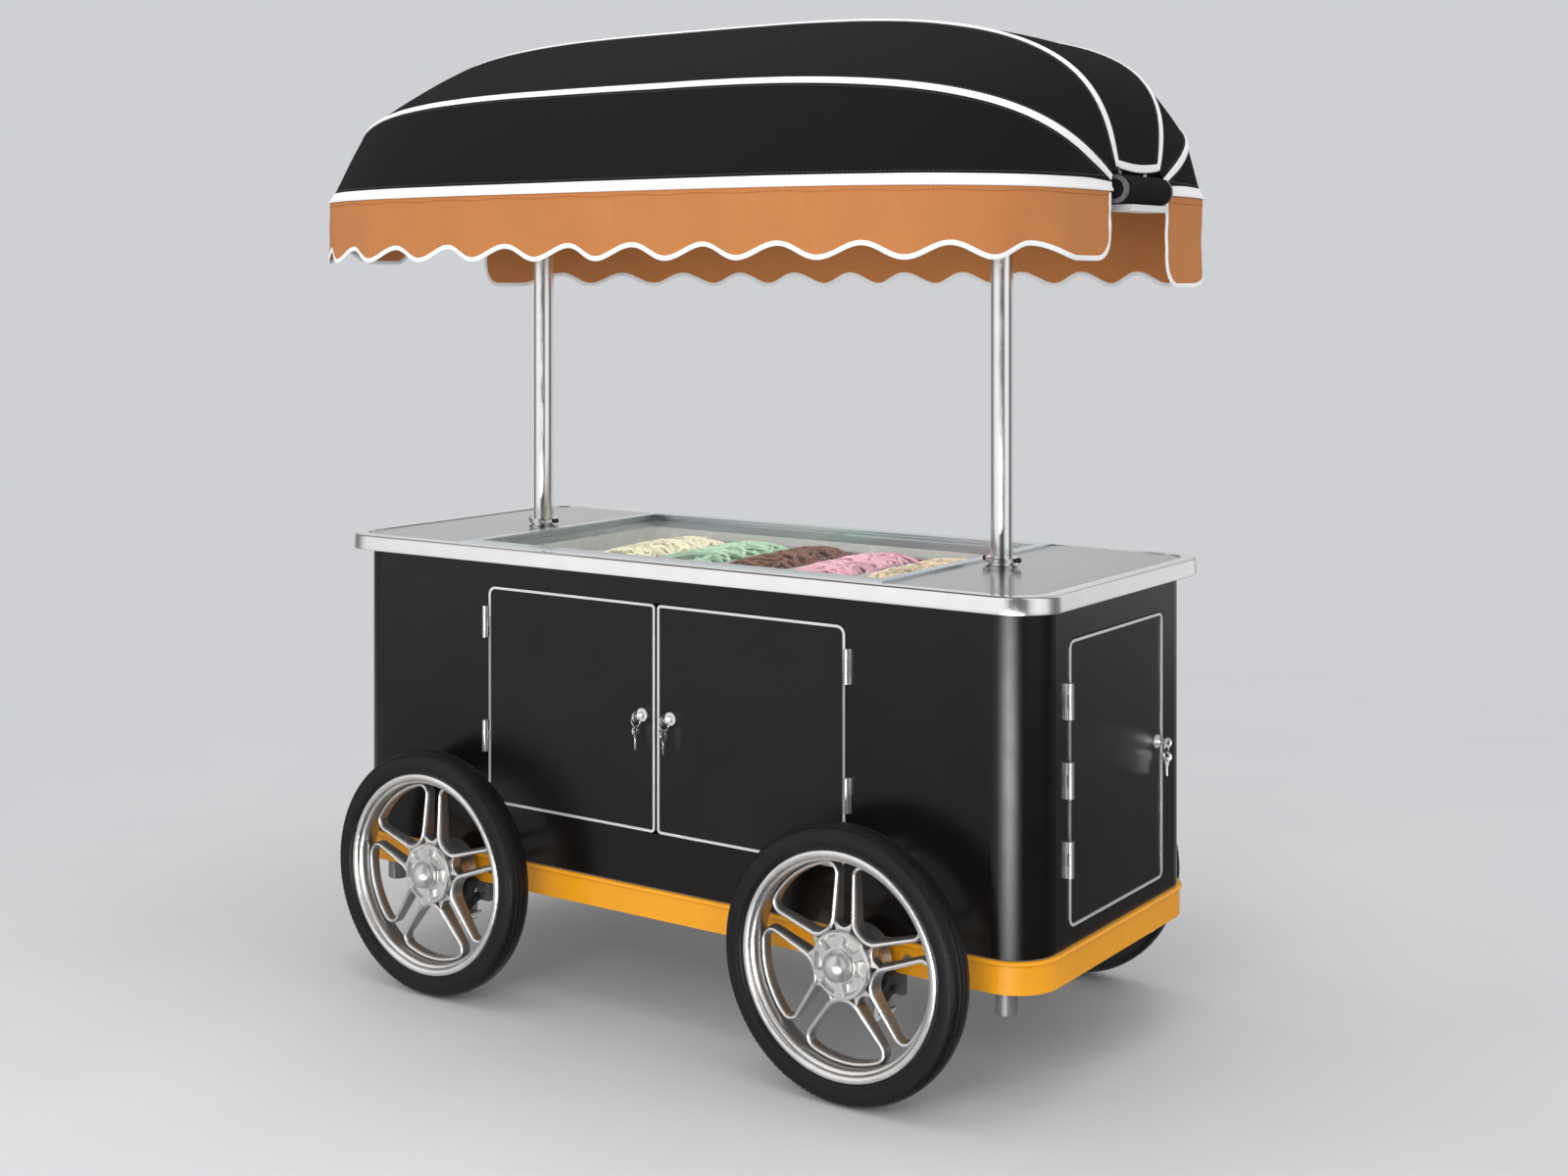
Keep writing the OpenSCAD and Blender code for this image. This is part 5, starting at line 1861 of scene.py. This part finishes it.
@dataclass
class Studio:
    """Camera, lamps, floor and background."""

    lens: float = 47.95
    eye: tuple[float, float, float] = (2.5424, -3.5757, 1.4713)
    pan: float = 34.63
    shift_y: float = -0.196
    ambient: float = 0.85
    softbox: float = 36.0
    backdrop: Color = (0.620, 0.632, 0.652)
    daylight: Color = (1.0, 1.0, 1.02)
    low_walls: tuple[Pair, ...] = (
        (-180, 0.30), (-150, 0.45), (-136, 0.5), (-112, 0.5), (-96, 0.4), (-70, 0.15), (-52, 0.06),
        (-10, 0.05), (30, 0.06), (50, 0.12), (62, 0.15), (75, 0.2), (100, 0.4), (124, 0.6), (150, 0.5),
        (180, 0.30))
    high_walls: tuple[Pair, ...] = (
        (-180, 0.12), (-168, 0.25), (-145, 0.75), (-130, 1.08), (-98, 1.0), (-88, 0.7), (-78, 0.14),
        (-60, 0.06), (-44, 0.12), (-32, 0.8), (-14, 1.1), (6, 0.9), (20, 0.25), (32, 0.08), (46, 0.2),
        (56, 0.7), (70, 0.85), (82, 0.6), (92, 0.4), (106, 0.5), (117, 0.72), (134, 0.72), (152, 0.4),
        (180, 0.12))
    corner_glow: tuple[Pair, ...] = (
        (-180, 0.0), (-110, 0.0), (-100, 1.5), (-90, 10.0), (-80, 27.0), (-72, 36.0), (-64, 28.0),
        (-55, 12.0), (-46, 1.5), (-38, 0.0), (180, 0.0))
    wall_foot: Pair = (-0.180, -0.160)
    glow_foot: Pair = (-0.300, -0.235)

    def camera(self) -> None:
        """Set the camera at the photograph's angle."""
        data = bpy.data.cameras.new("camera")
        data.lens = self.lens
        data.sensor_width = 36.0
        data.shift_y = self.shift_y
        holder = put("camera", data)
        holder.location = self.eye
        holder.rotation_euler = (math.radians(90), 0.0, math.radians(self.pan))
        bpy.context.scene.camera = holder

    def lamp(self, name: str, spot: Sequence[float], target: Sequence[float], size: Pair,
             power: float) -> None:
        """Add a soft lamp.

        Args:
            name: Name of the lamp.
            spot: Where it stands.
            target: What it faces.
            size: Width and height.
            power: Power in watts.
        """
        data = bpy.data.lights.new(name, "AREA")
        data.shape = "RECTANGLE"
        data.size, data.size_y = size
        data.energy = power
        holder = put(name, data)
        holder.location = spot
        holder.rotation_euler = (Vector(target) - Vector(spot)).to_track_quat("-Z", "Y").to_euler()
        holder.visible_camera = False
        holder.visible_glossy = False

    def walls(self, tree: ShaderTree, turned: Socket, stops: Sequence[Pair]) -> Socket:
        """Give the studio walls that bright metal mirrors.

        Args:
            tree: The world's nodes.
            turned: Direction, 0 to 1 for a full turn.
            stops: Direction in degrees and brightness of each stop.

        Returns:
            The brightness as a share of the softbox's.
        """
        ramp = tree.add("ShaderNodeValToRGB", {0: turned})
        elements = ramp.color_ramp.elements
        elements.remove(elements[1])
        for k, (degrees, level) in enumerate(stops):
            place = (degrees + 180) / 360
            stop = elements.new(place) if k else elements[0]
            stop.position = place
            stop.color = (*[level / self.softbox] * 3, 1.0)
        return ramp.outputs[0]

    def world(self) -> None:
        """Make the pale background and the soft light from all round."""
        tree = ShaderTree(bpy.data.worlds.new("studio"))
        outlook = tree.add("ShaderNodeTexCoord").outputs["Generated"]
        axes = tree.add("ShaderNodeSeparateXYZ", {0: outlook}).outputs
        turned = tree.span(tree.math("ARCTAN2", axes[1], axes[0]), 0.0, 1.0, (-math.pi, math.pi))
        rise = tree.span(axes[2], 0.0, 1.0, self.wall_foot)
        glow = tree.span(axes[2], 0.0, 1.0, self.glow_foot)
        low, corner, high = (self.walls(tree, turned, stops)
                             for stops in (self.low_walls, self.corner_glow, self.high_walls))
        lit = tree.add("ShaderNodeMix", {0: glow, 6: low, 7: corner}, data_type="RGBA", blend_type="ADD")
        walls = tree.blend(rise, lit.outputs[2], high)
        sources = ((self.backdrop, 1.0), (walls, self.softbox), (self.daylight, self.ambient))
        seen, mirrored, shader = (
            tree.add("ShaderNodeBackground", {"Color": color, "Strength": strength}).outputs[0]
            for color, strength in sources)
        path = tree.add("ShaderNodeLightPath").outputs
        for ray, other in (("Glossy", mirrored), ("Transmission", seen), ("Camera", seen)):
            inputs = {0: path[f"Is {ray} Ray"], 1: shader, 2: other}
            shader = tree.add("ShaderNodeMixShader", inputs).outputs[0]
        bpy.context.scene.world = tree.close(shader, "World")

    def floor(self) -> None:
        """Make the pale floor, which fades into the background."""
        tree = ShaderTree(bpy.data.materials.new("studio_floor"))
        where = tree.place()
        far = tree.add("ShaderNodeVectorMath", {0: where}, operation="LENGTH").outputs["Value"]
        fade = tree.span(far, 0.0, 1.0, (1.8, 5.0))
        cloud = tree.span(tree.noise(where, 2.0, 3.0), 0.0, 1.0)
        color = tree.blend(cloud, (0.66, 0.665, 0.675), (0.69, 0.69, 0.70))
        ground = tree.surface({"Base Color": color, "Roughness": 0.6, "Specular IOR Level": 0.2})
        clear = tree.add("ShaderNodeBsdfTransparent").outputs[0]
        material = tree.close(tree.add("ShaderNodeMixShader", {0: fade, 1: ground, 2: clear}).outputs[0])
        mesh = bpy.data.meshes.new("studio_floor")
        reach = 6.0
        mesh.from_pydata([(-reach, -reach, 0), (reach, -reach, 0), (reach, reach, 0), (-reach, reach, 0)], [],
                         [(0, 1, 2, 3)])
        mesh.materials.append(material)
        ground_plane = put("studio_floor", mesh)
        ground_plane.visible_glossy = False

    def make(self) -> None:
        """Build the studio."""
        self.camera()
        self.lamp("key", (1.2, -3.8, 1.9), (0.1, -0.3, 0.9), (1.8, 1.8), 52.0)
        self.lamp("top", (0.3, -0.3, 3.9), (0.0, 0.0, 1.0), (3.2, 2.2), 30.0)
        self.lamp("under_hood", (0.0, -0.1, 1.58), (0.0, 0.0, 0.9), (1.0, 0.5), 5.5)
        self.world()
        self.floor()


def main() -> None:
    """Build every piece in order."""
    logging.basicConfig(level=logging.INFO, format="%(name)s: %(message)s")
    scene = bpy.context.scene
    scene.view_settings.view_transform = "Standard"
    Studio().make()
    stitching, rows = Stitching(), RoundRow()
    hood = Hood()
    hood.make(stitching)
    Valance(hood, -1, "valance_front", 0.118).make(stitching)
    Valance(hood, 1, "valance_back", 0.168).make(stitching)
    Wheels().make(rows)
    Counter().make()
    Display().make()
    Cabinet().make()
    Chassis().make()


if __name__ == "__main__":
    main()
